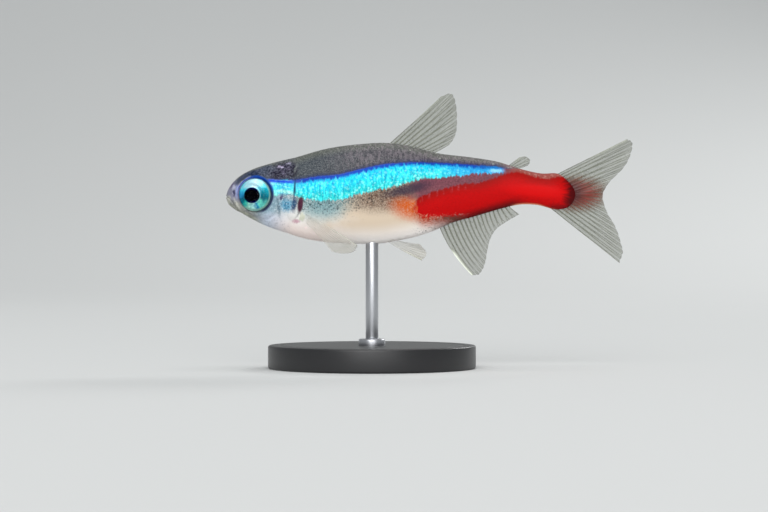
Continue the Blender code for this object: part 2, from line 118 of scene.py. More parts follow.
def smoothly(values, low, high):
    """0 below low, 1 above high, and a smooth step between."""
    t = np.clip((values - low) / (high - low), 0, 1)
    return t * t * (3 - 2 * t)


def bell(values, width):
    return np.exp(-((values / width) ** 2))


def levels(x):
    """Heights of the back, the widest line and the belly."""
    top, bottom = back(x), belly(x)
    return top, bottom + widest_share(x) * (top - bottom), bottom


def body_point(x, angle):
    """Points of the skin at a distance from the snout and an angle from the back, turning to the left."""
    top, level, bottom = levels(x)
    side = -half_width(x) * signed_power(np.sin(angle), SECTION_POWER)
    rise = signed_power(np.cos(angle), SECTION_POWER)
    height = level + np.where(rise > 0, top - level, level - bottom) * rise
    return np.stack([np.broadcast_to(x, side.shape), side, height], axis=-1)


def body_normal(x, angle):
    """The outward direction there, from two short steps over the skin."""
    step, tiny = 0.02, 1e-7
    end = STANDARD_LENGTH - step / 20
    low, high = np.clip(x - step, step / 20, None), np.clip(x + step, None, end)
    lengthways = body_point(high, angle) - body_point(low, angle)
    around = body_point(x, angle + step) - body_point(x, angle - step)
    normal = np.cross(around, lengthways)
    size = np.linalg.norm(normal, axis=-1, keepdims=True)
    ends = np.where(x[..., None] < SWING_START, (-1.0, 0.0, 0.0), (1.0, 0.0, 0.0))
    return np.where(size > tiny, normal / np.maximum(size, tiny), ends)


def raised(x, angle, lift):
    """Points of the skin, moved outwards by lift."""
    return body_point(x, angle) + lift[..., None] * body_normal(x, angle)


def angle_of(x, height):
    """The angle on the left side at which the skin has this height."""
    top, level, bottom = levels(x)
    rise = (height - level) / np.where(height > level, top - level, level - bottom)
    return np.arccos(signed_power(np.clip(rise, -1, 1), 1 / SECTION_POWER))


def swing(x):
    """How far the tail's swing has moved the fish to its right."""
    share = np.clip((x - SWING_START) / (SWING_END - SWING_START), 0, None)
    return SWING * share**2


def row(points):
    """Fish millimetres to the model's metres."""
    x, y, z = np.moveaxis(np.asarray(points, float), -1, 0)
    return MM * np.stack([x - ROD_PLACE, y + swing(x), z + AXIS_HEIGHT], axis=-1)


print("the body's end swings out by", round(float(swing(STANDARD_LENGTH)), 2), "mm")

# %% [markdown]
# Equal steps of angle crowd together on the back and the belly, because the body is deeper than it is wide.
# A table of angles that part each outline into even lengths keeps both the skin's faces and the scales even.

# %% Even steps round the body
TABLE_PLACES = 240
TABLE_TURNS = 128
OUTLINE_STEPS = 360


def even_angles():
    """For each place along the body, the angles that part its outline into even lengths."""
    places = STANDARD_LENGTH * (1 - np.cos(np.pi * np.arange(TABLE_PLACES + 1) / TABLE_PLACES)) / 2
    angles = np.linspace(0, 2 * math.pi, OUTLINE_STEPS + 1)
    turns = np.arange(TABLE_TURNS + 1) / TABLE_TURNS
    rows = []
    for x in places[1:-1]:
        outline = body_point(np.full(len(angles), x), angles)
        lengths = np.concatenate([[0], np.cumsum(np.linalg.norm(np.diff(outline, axis=0), axis=1))])
        rows.append(np.interp(turns, lengths / lengths[-1], angles))
    return np.array([rows[0], *rows, rows[-1]])


ANGLES = even_angles()


def angle_at_turn(x, turn):
    """The angle that lies this share of the way round the body, from the back over the left side."""
    i = np.clip(along_body(x) * TABLE_PLACES, 0, TABLE_PLACES - 1e-6)
    j = (turn % 1) * TABLE_TURNS
    i0, j0 = i.astype(int), j.astype(int)
    a, b = i - i0, j - j0
    low = ANGLES[i0, j0] * (1 - b) + ANGLES[i0, j0 + 1] * b
    high = ANGLES[i0 + 1, j0] * (1 - b) + ANGLES[i0 + 1, j0 + 1] * b
    return low * (1 - a) + high * a


quarter = angle_at_turn(np.array([ROD_PLACE]), np.array([0.25]))[0]
print("a quarter of the way round, over the rod, is at", round(math.degrees(quarter), 1), "degrees")

# %% [markdown]
# New pieces start as Blender's own primitives. The CAD nodes come in selected and a new primitive is
# selected too, so everything is deselected first. shape() then puts a piece's points where a formula says,
# which no single operator can do for a fish.


# %% Helpers for pieces
def deselect():
    if bpy.context.mode != "OBJECT":
        bpy.ops.object.mode_set(mode="OBJECT")
    bpy.ops.object.select_all(action="DESELECT")


def pick(piece):
    """Makes this piece the only one selected."""
    deselect()
    bpy.context.view_layer.objects.active = piece
    piece.select_set(True)


def named(name):
    """The primitive just added, under its own name."""
    piece = bpy.context.object
    piece.name = name
    piece.data.name = name
    return piece


def points_of(piece):
    points = np.empty(3 * len(piece.data.vertices), np.float32)
    piece.data.vertices.foreach_get("co", points)
    return points.reshape(-1, 3).astype(float)


def shape(piece, points):
    piece.data.vertices.foreach_set("co", np.asarray(points, np.float32).ravel())
    piece.data.update()


def face_outwards(piece):
    """Turns all faces of a closed piece outwards, and shades it smooth."""
    pick(piece)
    bpy.ops.object.mode_set(mode="EDIT")
    bpy.ops.mesh.select_all(action="SELECT")
    bpy.ops.mesh.normals_make_consistent(inside=False)
    bpy.ops.object.mode_set(mode="OBJECT")
    bpy.ops.object.shade_smooth()


def apply_modifier(piece, kind, **settings):
    pick(piece)
    modifier = piece.modifiers.new(kind.title(), kind)
    for key, value in settings.items():
        setattr(modifier, key, value)
    bpy.ops.object.modifier_apply(modifier=modifier.name)


def mirror_of(piece, name):
    """A copy with its own mesh on the fish's other side. Paired pieces sit where the tail hardly swings."""
    copy = piece.copy()
    copy.data = piece.data.copy()
    copy.name = copy.data.name = name
    bpy.context.scene.collection.objects.link(copy)
    copy.data.transform(Matrix.Diagonal((1, -1, 1, 1)))
    copy.data.flip_normals()
    return copy


def select_parts(piece, kind, chosen):
    """Selects in edit mode the faces or edges that chosen accepts."""
    bpy.ops.object.mode_set(mode="EDIT")
    bpy.ops.mesh.select_mode(type=kind)
    bpy.ops.mesh.select_all(action="DESELECT")
    bpy.ops.object.mode_set(mode="OBJECT")
    for part in piece.data.polygons if kind == "FACE" else piece.data.edges:
        part.select = chosen(part)
    bpy.ops.object.mode_set(mode="EDIT")


print("helpers ready")

# %% [markdown]
# The head's forms are shallow: lips along the mouth, the slit between them, the bones under the eye, the
# groove before the gill cover, the nostril and the rim of the orbit. Each is a line or a spot in the side
# view, and the skin rises or sinks by a bell curve of its distance to it.

# %% Forms of the head
MOUTH = [(-0.3, -0.17), (0.05, -0.17), (0.35, -0.36), (0.6, -0.66), (0.82, -0.98), (1.02, -1.24)]
CHEEK_LINE = [(4.5, 1.0), (4.66, 0.1), (4.6, -0.7), (4.4, -1.5), (4.0, -1.95), (3.4, -2.2)]
JAW_LINE = [(1.1, -1.3), (1.9, -1.68), (2.9, -2.15), (3.7, -2.5)]
GILL_EDGE = [(6.05, 5.0), (6.0, 3.2), (5.9, 1.5), (6.0, 0.3), (6.38, -0.9), (6.35, -1.5), (5.9, -2.05),
             (5.3, -2.9), (4.5, -4.5)]
LINE_FORMS = [  # a line, how far the skin rises there, at which distance from it, and over which width
    (MOUTH, 0.06, 0, 0.2),  # lips
    (MOUTH, -0.12, 0, 0.05),  # the slit between them
    (CHEEK_LINE, -0.06, 0, 0.09),
    (JAW_LINE, -0.04, 0, 0.08),
]
LINE_STEPS = 48
NOSTRIL = np.array([0.68, 0.15])
NOSTRIL_STRETCH = (0.75, 1.3)
NOSTRIL_RIM = (0.03, 0.17, 0.07)
NOSTRIL_PIT = (-0.14, 0, 0.1)
EYE_PLACE = 2.5
EYE_RADIUS = 1.42
EYE_SINK = 0.16
ORBIT_RIM = (0.03, 1.75, 0.22)
SOCKET_DEPTH = 0.55
SOCKET_EDGE = (1.22, 1.64)  # from the eye's axis
GILL_SPAN = ((-2.9, -2.3), (1.1, 1.7))  # heights over which the gill edge shows, fading at both ends
GILL_GROOVE = (-0.1, 0.1, 0.12)
GILL_SOFT = 0.55  # width of the step to the scales where the gill edge fades
GILL_SHARPER = 0.5  # how much narrower it is along the gill edge
FIN_BASE = np.array([6.62, -1.87])
FIN_BASE_STRETCH = (1.0, 1.5)
FIN_BASE_RISE = (0.1, 0, 0.28)
COAT = 0.04  # depth of the scales over the skin


def curve_of(points):
    """A function from 0..1 to a smooth line through points."""
    share = np.linspace(0, 1, len(points))
    parts = [through(list(zip(share, column))) for column in zip(*points)]
    return lambda v: np.stack([part(v) for part in parts], axis=-1)


def distance_to(points, side_view):
    """How far places in the side view are from a line through points."""
    line = curve_of(points)(np.linspace(0, 1, LINE_STEPS))
    nearest = np.full(len(side_view), np.inf)
    for start, end in zip(line, line[1:]):
        along = end - start
        share = np.clip((side_view - start) @ along / (along @ along), 0, 1)
        nearest = np.minimum(nearest, np.linalg.norm(side_view - start - share[:, None] * along, axis=1))
    return nearest


def eye_axes():
    """The left eye's centre on the cheek, and the level direction in which it looks."""
    at = np.array([EYE_PLACE])
    angle = angle_of(at, np.array([0.0]))
    centre, outward = body_point(at, angle)[0], body_normal(at, angle)[0]
    outward = outward * (1, 1, 0)
    outward /= np.linalg.norm(outward)
    return centre - EYE_SINK * outward, outward


EYE_CENTRE, EYE_OUTWARD = eye_axes()
gill_x = through([(z, x) for x, z in reversed(GILL_EDGE)])


def from_eye(skin):
    """How far points lie from the axis of the eye on their own side."""
    left = skin * (1, 0, 1) - np.abs(skin) * (0, 1, 0)
    away = left - EYE_CENTRE
    return np.linalg.norm(away - (away @ EYE_OUTWARD)[:, None] * EYE_OUTWARD, axis=1)


def form(distance, rise, place, width):
    """A rise, or a groove if it is negative, at one distance from a line or a spot."""
    return rise * bell(distance - place, width)


def relief(skin):
    """How far the skin rises over the plain body, in millimetres."""
    side = skin[:, [0, 2]]
    rise = sum(form(distance_to(line, side), *sizes) for line, *sizes in LINE_FORMS)
    nostril = np.linalg.norm((side - NOSTRIL) / NOSTRIL_STRETCH, axis=1)
    rise += form(nostril, *NOSTRIL_RIM) + form(nostril, *NOSTRIL_PIT)
    radial = from_eye(skin)
    rise += form(radial, *ORBIT_RIM) - SOCKET_DEPTH * (1 - smoothly(radial, *SOCKET_EDGE))
    behind = side[:, 0] - gill_x(side[:, 1])
    foot, head = GILL_SPAN
    on_gill = smoothly(side[:, 1], *foot) * (1 - smoothly(side[:, 1], *head))
    soft = GILL_SOFT - GILL_SHARPER * on_gill
    rise -= COAT * smoothly(behind, -soft, soft)
    rise += form(behind, *GILL_GROOVE) * on_gill
    return rise + form(np.linalg.norm((side - FIN_BASE) / FIN_BASE_STRETCH, axis=1), *FIN_BASE_RISE)


print("the eye's axis turns", round(math.degrees(math.atan2(-EYE_OUTWARD[0], -EYE_OUTWARD[1])), 1),
      "degrees forward")

# %% [markdown]
# A ball with its poles on the fish's axis already has what the skin needs: rings that crowd at both ends and
# no seam. Each of its points moves to the body at the same place along it and the same share of the way
# round, and then in or out by the head's relief.

# %% The skin
SKIN_SIDES = 176
SKIN_RINGS = 400


def make_skin():
    deselect()
    bpy.ops.mesh.primitive_uv_sphere_add(segments=SKIN_SIDES, ring_count=SKIN_RINGS, radius=1)
    skin = named("skin")
    ball = points_of(skin)
    place = np.arctan2(np.hypot(ball[:, 0], ball[:, 1]), ball[:, 2]) / math.pi
    x = STANDARD_LENGTH * (1 - np.cos(math.pi * place)) / 2
    turn = np.arctan2(ball[:, 1], ball[:, 0]) / (2 * math.pi)
    angle = angle_at_turn(x, turn)
    shape(skin, row(raised(x, angle, relief(body_point(x, angle)))))
    face_outwards(skin)
    return skin


skin = make_skin()
print("skin:", len(skin.data.polygons), "faces")

# %% [markdown]
# The gill cover is a thin bony plate that hides the gills. It grows out of the cheek and its rear edge
# stands free, so it is a plate of its own: a grid between the line before it and the gill edge, laid on the
# body and lifted towards the rear, then given its thickness.

# %% The gill covers
COVER_FRONT = [(5.6, 1.62), (5.0, 1.3), (4.72, 0.6), (4.68, -0.4), (4.75, -1.0), (4.9, -1.5), (5.15, -2.05),
               (5.4, -2.55)]
COVER_REAR = [(5.88, 1.62), (5.9, 1.2), (6.0, 0.3), (6.26, -0.45), (6.4, -1.0), (6.33, -1.5), (5.95, -2.1),
              (5.5, -2.65)]
COVER_CELLS = (28, 56)  # from front to rear, and from top to bottom
COVER_THICKNESS = 0.06
COVER_LIFT = 0.09  # at the free edge
COVER_SINK = 0.13  # where it grows out of the cheek
COVER_WAVE = 0.015


def make_gill_cover():
    deselect()
    bpy.ops.mesh.primitive_grid_add(x_subdivisions=COVER_CELLS[0], y_subdivisions=COVER_CELLS[1], size=2)
    cover = named("gill_cover_left")
    u, v, _ = (points_of(cover).T + 1) / 2
    front, rear = curve_of(COVER_FRONT)(v), curve_of(COVER_REAR)(v)
    x, z = (front + u[:, None] * (rear - front)).T
    angle = angle_of(x, z)
    free = smoothly(u, 0, 0.6) * smoothly(v, 0.04, 0.4) * (1 - smoothly(v, 0.72, 1))
    lift = COVER_LIFT * free - COVER_SINK * (1 - free) + COVER_WAVE * np.sin(9 * v + 4 * u) * free
    shape(cover, row(raised(x, angle, lift)))
    apply_modifier(cover, "SOLIDIFY", thickness=COVER_THICKNESS * MM, offset=-1)
    face_outwards(cover)
    return cover


gill_cover_left = make_gill_cover()
gill_cover_right = mirror_of(gill_cover_left, "gill_cover_right")
print("each gill cover:", len(gill_cover_left.data.polygons), "faces")

# %% [markdown]
# Each scale is a thin plate with its front sunk in the skin and a round rear edge that covers the next ones.
# One is modelled, a grid with its rear rounded and then given a thickness. Its copies are laid over
# the body by a formula, row by row, every second row half a scale further back.

# %% One scale
SCALE_CELLS = (5, 4)  # across it and along it
SCALE_THICKNESS = 0.02
SCALE_LENGTH = 1.75  # over the distance from one scale to the next in its row
SCALE_HEIGHT = 0.82  # half of it, over the distance between rows
SCALE_TILT = 0.03
SCALE_EDGE_ANGLE = math.radians(30)
SCALE_CORNER = 0.56  # length at its sides, as a share of the whole
SCALE_ROUNDING = 0.98
SCALE_NARROWING = 0.12  # towards its front


def make_one_scale():
    """A scale in its own measure: u across from -1 to 1, v from front 0 to rear 1, w its thickness in mm."""
    deselect()
    bpy.ops.mesh.primitive_grid_add(x_subdivisions=SCALE_CELLS[0], y_subdivisions=SCALE_CELLS[1], size=2)
    scale = named("one_scale")
    points = points_of(scale)
    u, v = np.sin(points[:, 0] * math.pi / 2), (points[:, 1] + 1) / 2
    rear = SCALE_CORNER + (1 - SCALE_CORNER) * np.sqrt(1 - SCALE_ROUNDING * u**2)
    width = 1 - SCALE_NARROWING * (1 - v)
    shape(scale, np.stack([u * width, v * rear, 0 * u], axis=1))
    apply_modifier(scale, "SOLIDIFY", thickness=SCALE_THICKNESS, offset=-1)
    return scale


one_scale = make_one_scale()
SCALE_POINTS = points_of(one_scale)
SCALE_FACES = np.array([tuple(p.vertices) for p in one_scale.data.polygons])
bpy.data.objects.remove(one_scale, do_unlink=True)
print("one scale:", len(SCALE_POINTS), "points and", len(SCALE_FACES), "faces")

# %% [markdown]
# The coat is joined into one mesh a side. Its bake map gives each scale a small patch of its own, at the
# place of its root on an unwrap of the body: along it for u, round it for v.

# %% The coat of scales
ROWS = 28  # round the whole body
ROW_HEIGHT = 1 / ROWS
FIRST_SCALE = 5.6
LAST_SCALE = 29.75
SCALE_STEP = [(5.0, 0.66), (10.0, 0.74), (16.0, 0.72), (22.0, 0.64), (27.0, 0.54), (30.0, 0.42)]
SCALE_UNEVEN = 0.05  # share by which a scale may be longer or shorter
SCALE_SHOWS = 0.25  # a scale less far than this under the head still shows its rear
TUCK_LENGTH = 0.9  # end of the body over which the scales sink into the skin
TUCK_DEPTH = 0.05
BODY_SPAN = (0.1, STANDARD_LENGTH - 0.02)  # part of the body where a scale's points may lie
BAKE_PATCH = 0.003
scale_step = through(SCALE_STEP)


def scale_places():
    """(place along the body, share of the way round it) of each scale."""
    columns = [FIRST_SCALE]
    while columns[-1] < LAST_SCALE:
        columns.append(columns[-1] + float(scale_step(columns[-1])))
    places = []
    for k in range(ROWS):
        for x in columns:
            x += float(scale_step(x)) / 2 if k % 2 else 0
            places.append((x, (k + 0.5) * ROW_HEIGHT))
    return np.array(places)


def lay_scales(name, places):
    """One mesh of a scale at each place."""
    chance = np.random.default_rng(7)
    length = scale_step(places[:, 0]) * SCALE_LENGTH
    length *= chance.uniform(1 - SCALE_UNEVEN, 1 + SCALE_UNEVEN, len(places))
    u, v, w = SCALE_POINTS.T
    x = places[:, :1] + length[:, None] * (v - 0.5)
    x = np.clip(x, *BODY_SPAN)
    turn = places[:, 1:] + ROW_HEIGHT * SCALE_HEIGHT * u
    angle = angle_at_turn(x, turn)
    proud = smoothly(STANDARD_LENGTH - x, 0, TUCK_LENGTH)
    lift = (w - SCALE_TILT * (1 - v)) * proud - TUCK_DEPTH * (1 - proud)
    points = raised(x, angle, lift)
    count = len(SCALE_POINTS)
    faces = (SCALE_FACES[None] + count * np.arange(len(places))[:, None, None]).reshape(-1, 4)
    mesh = bpy.data.meshes.new(name)
    mesh.from_pydata(row(points.reshape(-1, 3)), [], faces.tolist())
    piece = bpy.data.objects.new(name, mesh)
    bpy.context.scene.collection.objects.link(piece)
    root = places * (1 / STANDARD_LENGTH, 1)
    patch = root[:, None, :] + BAKE_PATCH * (np.stack([v, u / 2 + 0.5], axis=-1) - 0.5)
    corners = patch.reshape(-1, 2)[faces.ravel()]
    mesh.uv_layers.new(name="OFBake").data.foreach_set("uv", corners.astype(np.float32).ravel())
    face_outwards(piece)
    bpy.ops.object.shade_smooth_by_angle(angle=SCALE_EDGE_ANGLE)
    return piece


def clear_of_gills(places):
    """Leaves out the scales that would lie wholly under the head."""
    x, angle = places[:, 0], angle_at_turn(places[:, 0], places[:, 1])
    height = body_point(x, angle)[:, 2]
    return places[x + SCALE_SHOWS > gill_x(height)]


all_places = clear_of_gills(scale_places())
scales_left = lay_scales("scales_left", all_places[all_places[:, 1] < 0.5])
scales_right = lay_scales("scales_right", all_places[all_places[:, 1] > 0.5])
print(len(all_places), "scales,", 2 * len(scales_left.data.polygons), "triangles a side")

# %% [markdown]
# A fin is a thin skin stretched over rays. The rays start at the root, split once and often twice, and the
# membrane between them is far thinner. A grid gives the skin, and a vertex group of thicknesses drives
# Solidify, so that each ray is a ridge in the fin's own surface. Three attributes stay on the mesh for the
# finish: how near a point is to a ray, how far out it lies, and how much of the white leading streak it has.

# %% How a fin is made
RAY_THICKNESS = 0.08
RAY_THINNING = 0.6  # share of it that is lost towards the tip
MEMBRANE_THICKNESS = 0.02
COLUMNS_A_RAY = 12
FIN_STEPS = 56
RAY_WIDTH, BRANCH_WIDTH = 0.13, 0.045  # in spaces between rays, as are the next three
FIRST_SPREAD, SECOND_SPREAD = 0.2, 0.1  # how far branches part where a ray splits, and splits again
STREAK_WIDTH = 0.6
RAY_UNEVEN = 0.01  # share by which one ray may be shorter than the next
FRAY = 0.012  # share by which the membrane falls back between rays


def ray_weight(across, v, split):
    """1 on the middle of a ray and 0 between rays. across counts rays, and v runs from root to tip."""
    nearest = np.abs(across - np.round(across))
    first = FIRST_SPREAD * smoothly(v, split, split + 0.4)
    second = SECOND_SPREAD * smoothly(v, split + 0.3, 1.0)
    width = RAY_WIDTH - (RAY_WIDTH - BRANCH_WIDTH) * smoothly(v, split - 0.1, 1.0)
    branches = [np.abs(nearest - first - second), np.abs(nearest - first + second)]
    return bell(np.minimum(*branches), width)


def keep_values(piece, name, values):
    made = piece.data.attributes.new(name, "FLOAT", "POINT")
    made.data.foreach_set("value", values.astype(np.float32))


def make_fin(name, roots, tips, rays, bow=0.0, split=0.45, depth=0.35, ripple=0.05, streak=0.3, seed=1):
    """A fin from its leading ray to its last. roots and tips are points in fish millimetres."""
    deselect()
    columns = (rays - 1) * COLUMNS_A_RAY
    bpy.ops.mesh.primitive_grid_add(x_subdivisions=columns, y_subdivisions=FIN_STEPS, size=2)
    fin = named(name)
    share, v, _ = (points_of(fin).T + 1) / 2
    across = share * (rays - 1)
    chance = np.random.default_rng(seed)
    root_line, tip_line = curve_of(roots), curve_of(tips)
    root, tip = root_line(share), tip_line(share)
    length = np.linalg.norm(tip - root, axis=1)
    ahead = (tip - root) / length[:, None]
    uneven = np.interp(across, np.arange(rays), chance.uniform(1 - RAY_UNEVEN, 1, rays))
    between = np.abs(across - np.round(across)) * 2
    reach = length * (uneven - FRAY * between**2)
    before, after = np.clip(share - 0.01, 0, 1), np.clip(share + 0.01, 0, 1)
    step = root_line(after) + tip_line(after) - root_line(before) - tip_line(before)
    sideways = step / np.linalg.norm(step, axis=1, keepdims=True)
    normal = np.cross(ahead, sideways)
    normal /= np.linalg.norm(normal, axis=1, keepdims=True)
    out = v * (reach + depth) - depth
    bend = bow * length * 4 * v * (1 - v)
    wave = ripple * np.sin(across * 1.7 + 5 * v + seed) * v
    points = root + out[:, None] * ahead - bend[:, None] * sideways + wave[:, None] * normal
    shape(fin, row(points))
    weight = ray_weight(across, v, split)
    ridge = RAY_THICKNESS * (1 - RAY_THINNING * v) - MEMBRANE_THICKNESS
    thickness = MEMBRANE_THICKNESS + ridge * weight
    group = fin.vertex_groups.new(name="thickness")
    for index, value in enumerate(thickness / RAY_THICKNESS):
        group.add([index], float(value), "REPLACE")
    keep_values(fin, "ray", weight)
    keep_values(fin, "reach", v)
    keep_values(fin, "streak", streak * bell(across, STREAK_WIDTH) * smoothly(v, 0.4, 0.6))
    apply_modifier(fin, "SOLIDIFY", thickness=RAY_THICKNESS * MM, offset=0, vertex_group="thickness")
    face_outwards(fin)
    return fin


def in_plane(points):
    """Places in the side view, on the fish's middle plane."""
    return [(x, 0.0, z) for x, z in points]


def on_edge(edge, places):
    """Places on the back or the belly."""
    return [(x, 0.0, float(edge(x))) for x in places]


print("a fin of 11 rays has", 10 * COLUMNS_A_RAY * FIN_STEPS * 2, "faces before its edge")

# %% [markdown]
# Six fins are modelled and the paired ones are mirrored. The lists run from the leading ray to the last:
# where the rays leave the body, and where they end. The solids part the tail fin in two, and here it is one
# piece, with rays that spread from the upper edge round to the lower one and a membrane in the fork.

# %% The fins
fin_dorsal = make_fin(
    "fin_dorsal_skin", on_edge(back, np.linspace(14.15, 18.1, 5)),
    in_plane([(18.65, 8.6), (19.4, 8.84), (19.8, 8.4), (19.95, 7.5), (20.0, 6.5), (19.95, 5.6), (19.7, 4.9),
              (19.3, 4.35)]),
    11, bow=-0.01, seed=2)
fin_adipose = make_fin(
    "fin_adipose_skin", on_edge(back, [24.5, 24.95, 25.4]),
    in_plane([(25.4, 3.3), (25.95, 3.38), (26.3, 3.12), (26.3, 2.8), (26.15, 2.58)]), 5, depth=0.15, seed=3)
fin_anal = make_fin(
    "fin_anal_skin", on_edge(belly, np.linspace(18.55, 24.6, 6)),
    in_plane([(21.25, -6.98), (21.95, -6.85), (22.4, -6.0), (22.6, -4.9), (22.85, -3.85), (23.4, -2.95),
              (24.3, -2.3), (25.4, -1.65)]),
    18, bow=0.06, split=0.6, streak=1.0, seed=4)
fin_caudal = make_fin(
    "fin_caudal_skin",
    in_plane([(28.6, 1.8), (29.3, 1.5), (29.9, 0.85), (30.2, 0.3), (30.25, 0.1), (30.2, -0.15), (29.9, -0.6),
              (29.2, -1.0), (28.1, -1.1)]),
    in_plane([(34.9, 4.95), (35.42, 4.6), (35.2, 3.45), (34.5, 2.3), (33.3, 1.1), (32.75, 0.0), (33.1, -1.4),
              (33.8, -2.6), (34.3, -3.9), (34.55, -5.0), (34.25, -5.92)]),
    21, split=0.35, ripple=0.06, seed=5)
fin_pelvic_left = make_fin(
    "fin_pelvic_left_skin", [(14.0, -0.5, -4.05), (14.35, -0.6, -4.0), (14.7, -0.75, -3.9)],
    [(16.9, -1.3, -5.68), (17.3, -1.45, -5.2), (17.15, -1.6, -4.65), (16.7, -1.75, -4.28)],
    8, bow=0.02, seed=7)
fin_pectoral_left = make_fin(
    "fin_pectoral_left_skin", [(6.75, -1.85, -1.6), (6.8, -1.75, -2.0), (6.9, -1.6, -2.4)],
    [(11.35, -2.6, -4.35), (11.1, -2.75, -4.85), (10.3, -2.85, -5.1), (9.2, -2.9, -4.95)],
    11, bow=0.02, seed=8)
fin_pelvic_right = mirror_of(fin_pelvic_left, "fin_pelvic_right_skin")
fin_pectoral_right = mirror_of(fin_pectoral_left, "fin_pectoral_right_skin")
paired_fins = [fin_pelvic_left, fin_pelvic_right, fin_pectoral_left, fin_pectoral_right]
fins = [fin_dorsal, fin_adipose, fin_anal, *paired_fins]
print("fins:", sum(2 * len(fin.data.polygons) for fin in [*fins, fin_caudal]), "triangles")

# %% [markdown]
# A fish's eye has no lids. A ball of a lens bulges through the pupil, the iris round it shines like metal,
# and a clear, wet front covers both. The eye is turned from a ball primitive: its front is pressed into the
# profile of iris and lens, with the pupil a little ahead of the middle. The clear front is a thin dome.

# %% The eyes
EYE_BALL = (128, 128)  # segments and rings of the ball it starts from
CORNEA_BALL = (96, 64)
EYE_BACK = 0.6  # depth of the ball behind its rim
CORNEA_DOME, CORNEA_BACK = 0.42, 0.38
CORNEA_MARGIN = 0.02
PUPIL_RADIUS = 0.69
PUPIL_SHIFT = 0.25  # towards the snout
PUPIL_DROP = 0.06
LENS_LEVEL, LENS_DOME, LENS_MARGIN = 0.12, 0.24, 0.01
IRIS_DOME = 0.3
IRIS_DIP = (-0.04, 0.85, 0.14)  # a ring round the pupil, as form() takes it
FOLD_COUNT = 60
FOLDS = (0.002, 1.0, 0.2)  # the same for the fine folds that run outwards
EYE_FRAME = np.column_stack([np.cross((0, 0, 1), EYE_OUTWARD), (0, 0, 1), EYE_OUTWARD])


def in_eye(points):
    """From the eye's own measure, with Z along its axis, to fish millimetres."""
    return EYE_CENTRE + points @ EYE_FRAME.T


def add_ball(name, cells):
    """A ball of radius 1 and the coordinates of its points."""
    deselect()
    bpy.ops.mesh.primitive_uv_sphere_add(segments=cells[0], ring_count=cells[1], radius=1)
    ball = named(name)
    return ball, *points_of(ball).T


def make_eye():
    eye, x, y, z = add_ball("eyeball_left", EYE_BALL)
    across, up = EYE_RADIUS * x, EYE_RADIUS * y
    rim = np.clip(1 - (across**2 + up**2) / EYE_RADIUS**2, 0, 1)
    from_pupil = np.hypot(across + PUPIL_SHIFT, up + PUPIL_DROP)
    folds = np.sin(FOLD_COUNT * np.arctan2(up, across + PUPIL_SHIFT)) * form(from_pupil, *FOLDS)
    iris = IRIS_DOME * np.sqrt(rim) + form(from_pupil, *IRIS_DIP) + folds
    bulge = np.clip(1 - (from_pupil / (PUPIL_RADIUS + LENS_MARGIN)) ** 2, 0, 1)
    lens = LENS_LEVEL + LENS_DOME * np.sqrt(bulge)
    front = np.where(from_pupil < PUPIL_RADIUS, np.maximum(lens, iris), iris)
    shape(eye, row(in_eye(np.column_stack([across, up, np.where(z > 0, front, EYE_BACK * z)]))))
    face_outwards(eye)
    return eye


def make_cornea():
    cornea, x, y, z = add_ball("cornea_left", CORNEA_BALL)
    radius = EYE_RADIUS - CORNEA_MARGIN
    depth = np.where(z > 0, CORNEA_DOME, CORNEA_BACK) * z
    shape(cornea, row(in_eye(np.column_stack([radius * x, radius * y, depth]))))
    face_outwards(cornea)
    return cornea


eyeball_left, cornea_left = make_eye(), make_cornea()
eyeball_right = mirror_of(eyeball_left, "eyeball_right")
cornea_right = mirror_of(cornea_left, "cornea_right")
print("eye:", 2 * EYE_RADIUS, "mm across, pupil", 2 * PUPIL_RADIUS, "mm")

# %% [markdown]
# The stand is turned metal: a low round base with a soft edge, a shallow groove, and a steel rod in a small
# collar. Cylinders are added at their size, insets shape their ends in edit mode, and a bevel softens them.

# %% The stand
BASE_RADIUS = 9.0
BASE_HEIGHT = 2.0
BASE_TOP = [(0.9, 0), (0.12, -0.12), (0.12, 0.12)]  # insets and how deep: a rim, then down and up a groove
BASE_FOOT = [(1.2, 0), (0.2, -0.15)]
COLLAR_RADIUS = 1.15
COLLAR_HEIGHT = 0.55
COLLAR_TOP = [(0.45, 0), (0.02, -0.3)]
ROD_RADIUS = 0.55
ROD_TOP = AXIS_HEIGHT + float(belly(ROD_PLACE)) + 1.3  # inside the belly
COLLAR_SINK, ROD_SINK = 0.1, 1.2  # how far they reach into the base
BEVEL_ANGLE, SMOOTH_ANGLE = math.radians(50), math.radians(35)


def add_cylinder(name, radius, bottom, top, sides=128):
    deselect()
    bpy.ops.mesh.primitive_cylinder_add(vertices=sides, radius=radius * MM, depth=(top - bottom) * MM,
                                        location=(0, 0, (top + bottom) / 2 * MM))
    piece = named(name)
    bpy.ops.object.transform_apply(location=True, rotation=False, scale=False)
    return piece


def inset_end(piece, facing, insets):
    """Insets the end that faces up, 1, or down, -1."""
    select_parts(piece, "FACE", lambda face: face.normal.z * facing > 0.9)
    for width, depth in insets:
        bpy.ops.mesh.inset(thickness=width * MM, depth=depth * MM)
    bpy.ops.object.mode_set(mode="OBJECT")


def soften_edges(piece, width, segments):
    apply_modifier(piece, "BEVEL", width=width * MM, segments=segments, limit_method="ANGLE",
                   angle_limit=BEVEL_ANGLE)
    face_outwards(piece)
    bpy.ops.object.shade_smooth_by_angle(angle=SMOOTH_ANGLE)
    return piece


def make_base():
    base = add_cylinder("base", BASE_RADIUS, 0, BASE_HEIGHT)
    inset_end(base, 1, BASE_TOP)
    inset_end(base, -1, BASE_FOOT)
    return soften_edges(base, 0.28, 4)


def make_collar():
    top = BASE_HEIGHT + COLLAR_HEIGHT
    collar = add_cylinder("collar", COLLAR_RADIUS, BASE_HEIGHT - COLLAR_SINK, top, 96)
    inset_end(collar, 1, COLLAR_TOP)
    return soften_edges(collar, 0.12, 3)


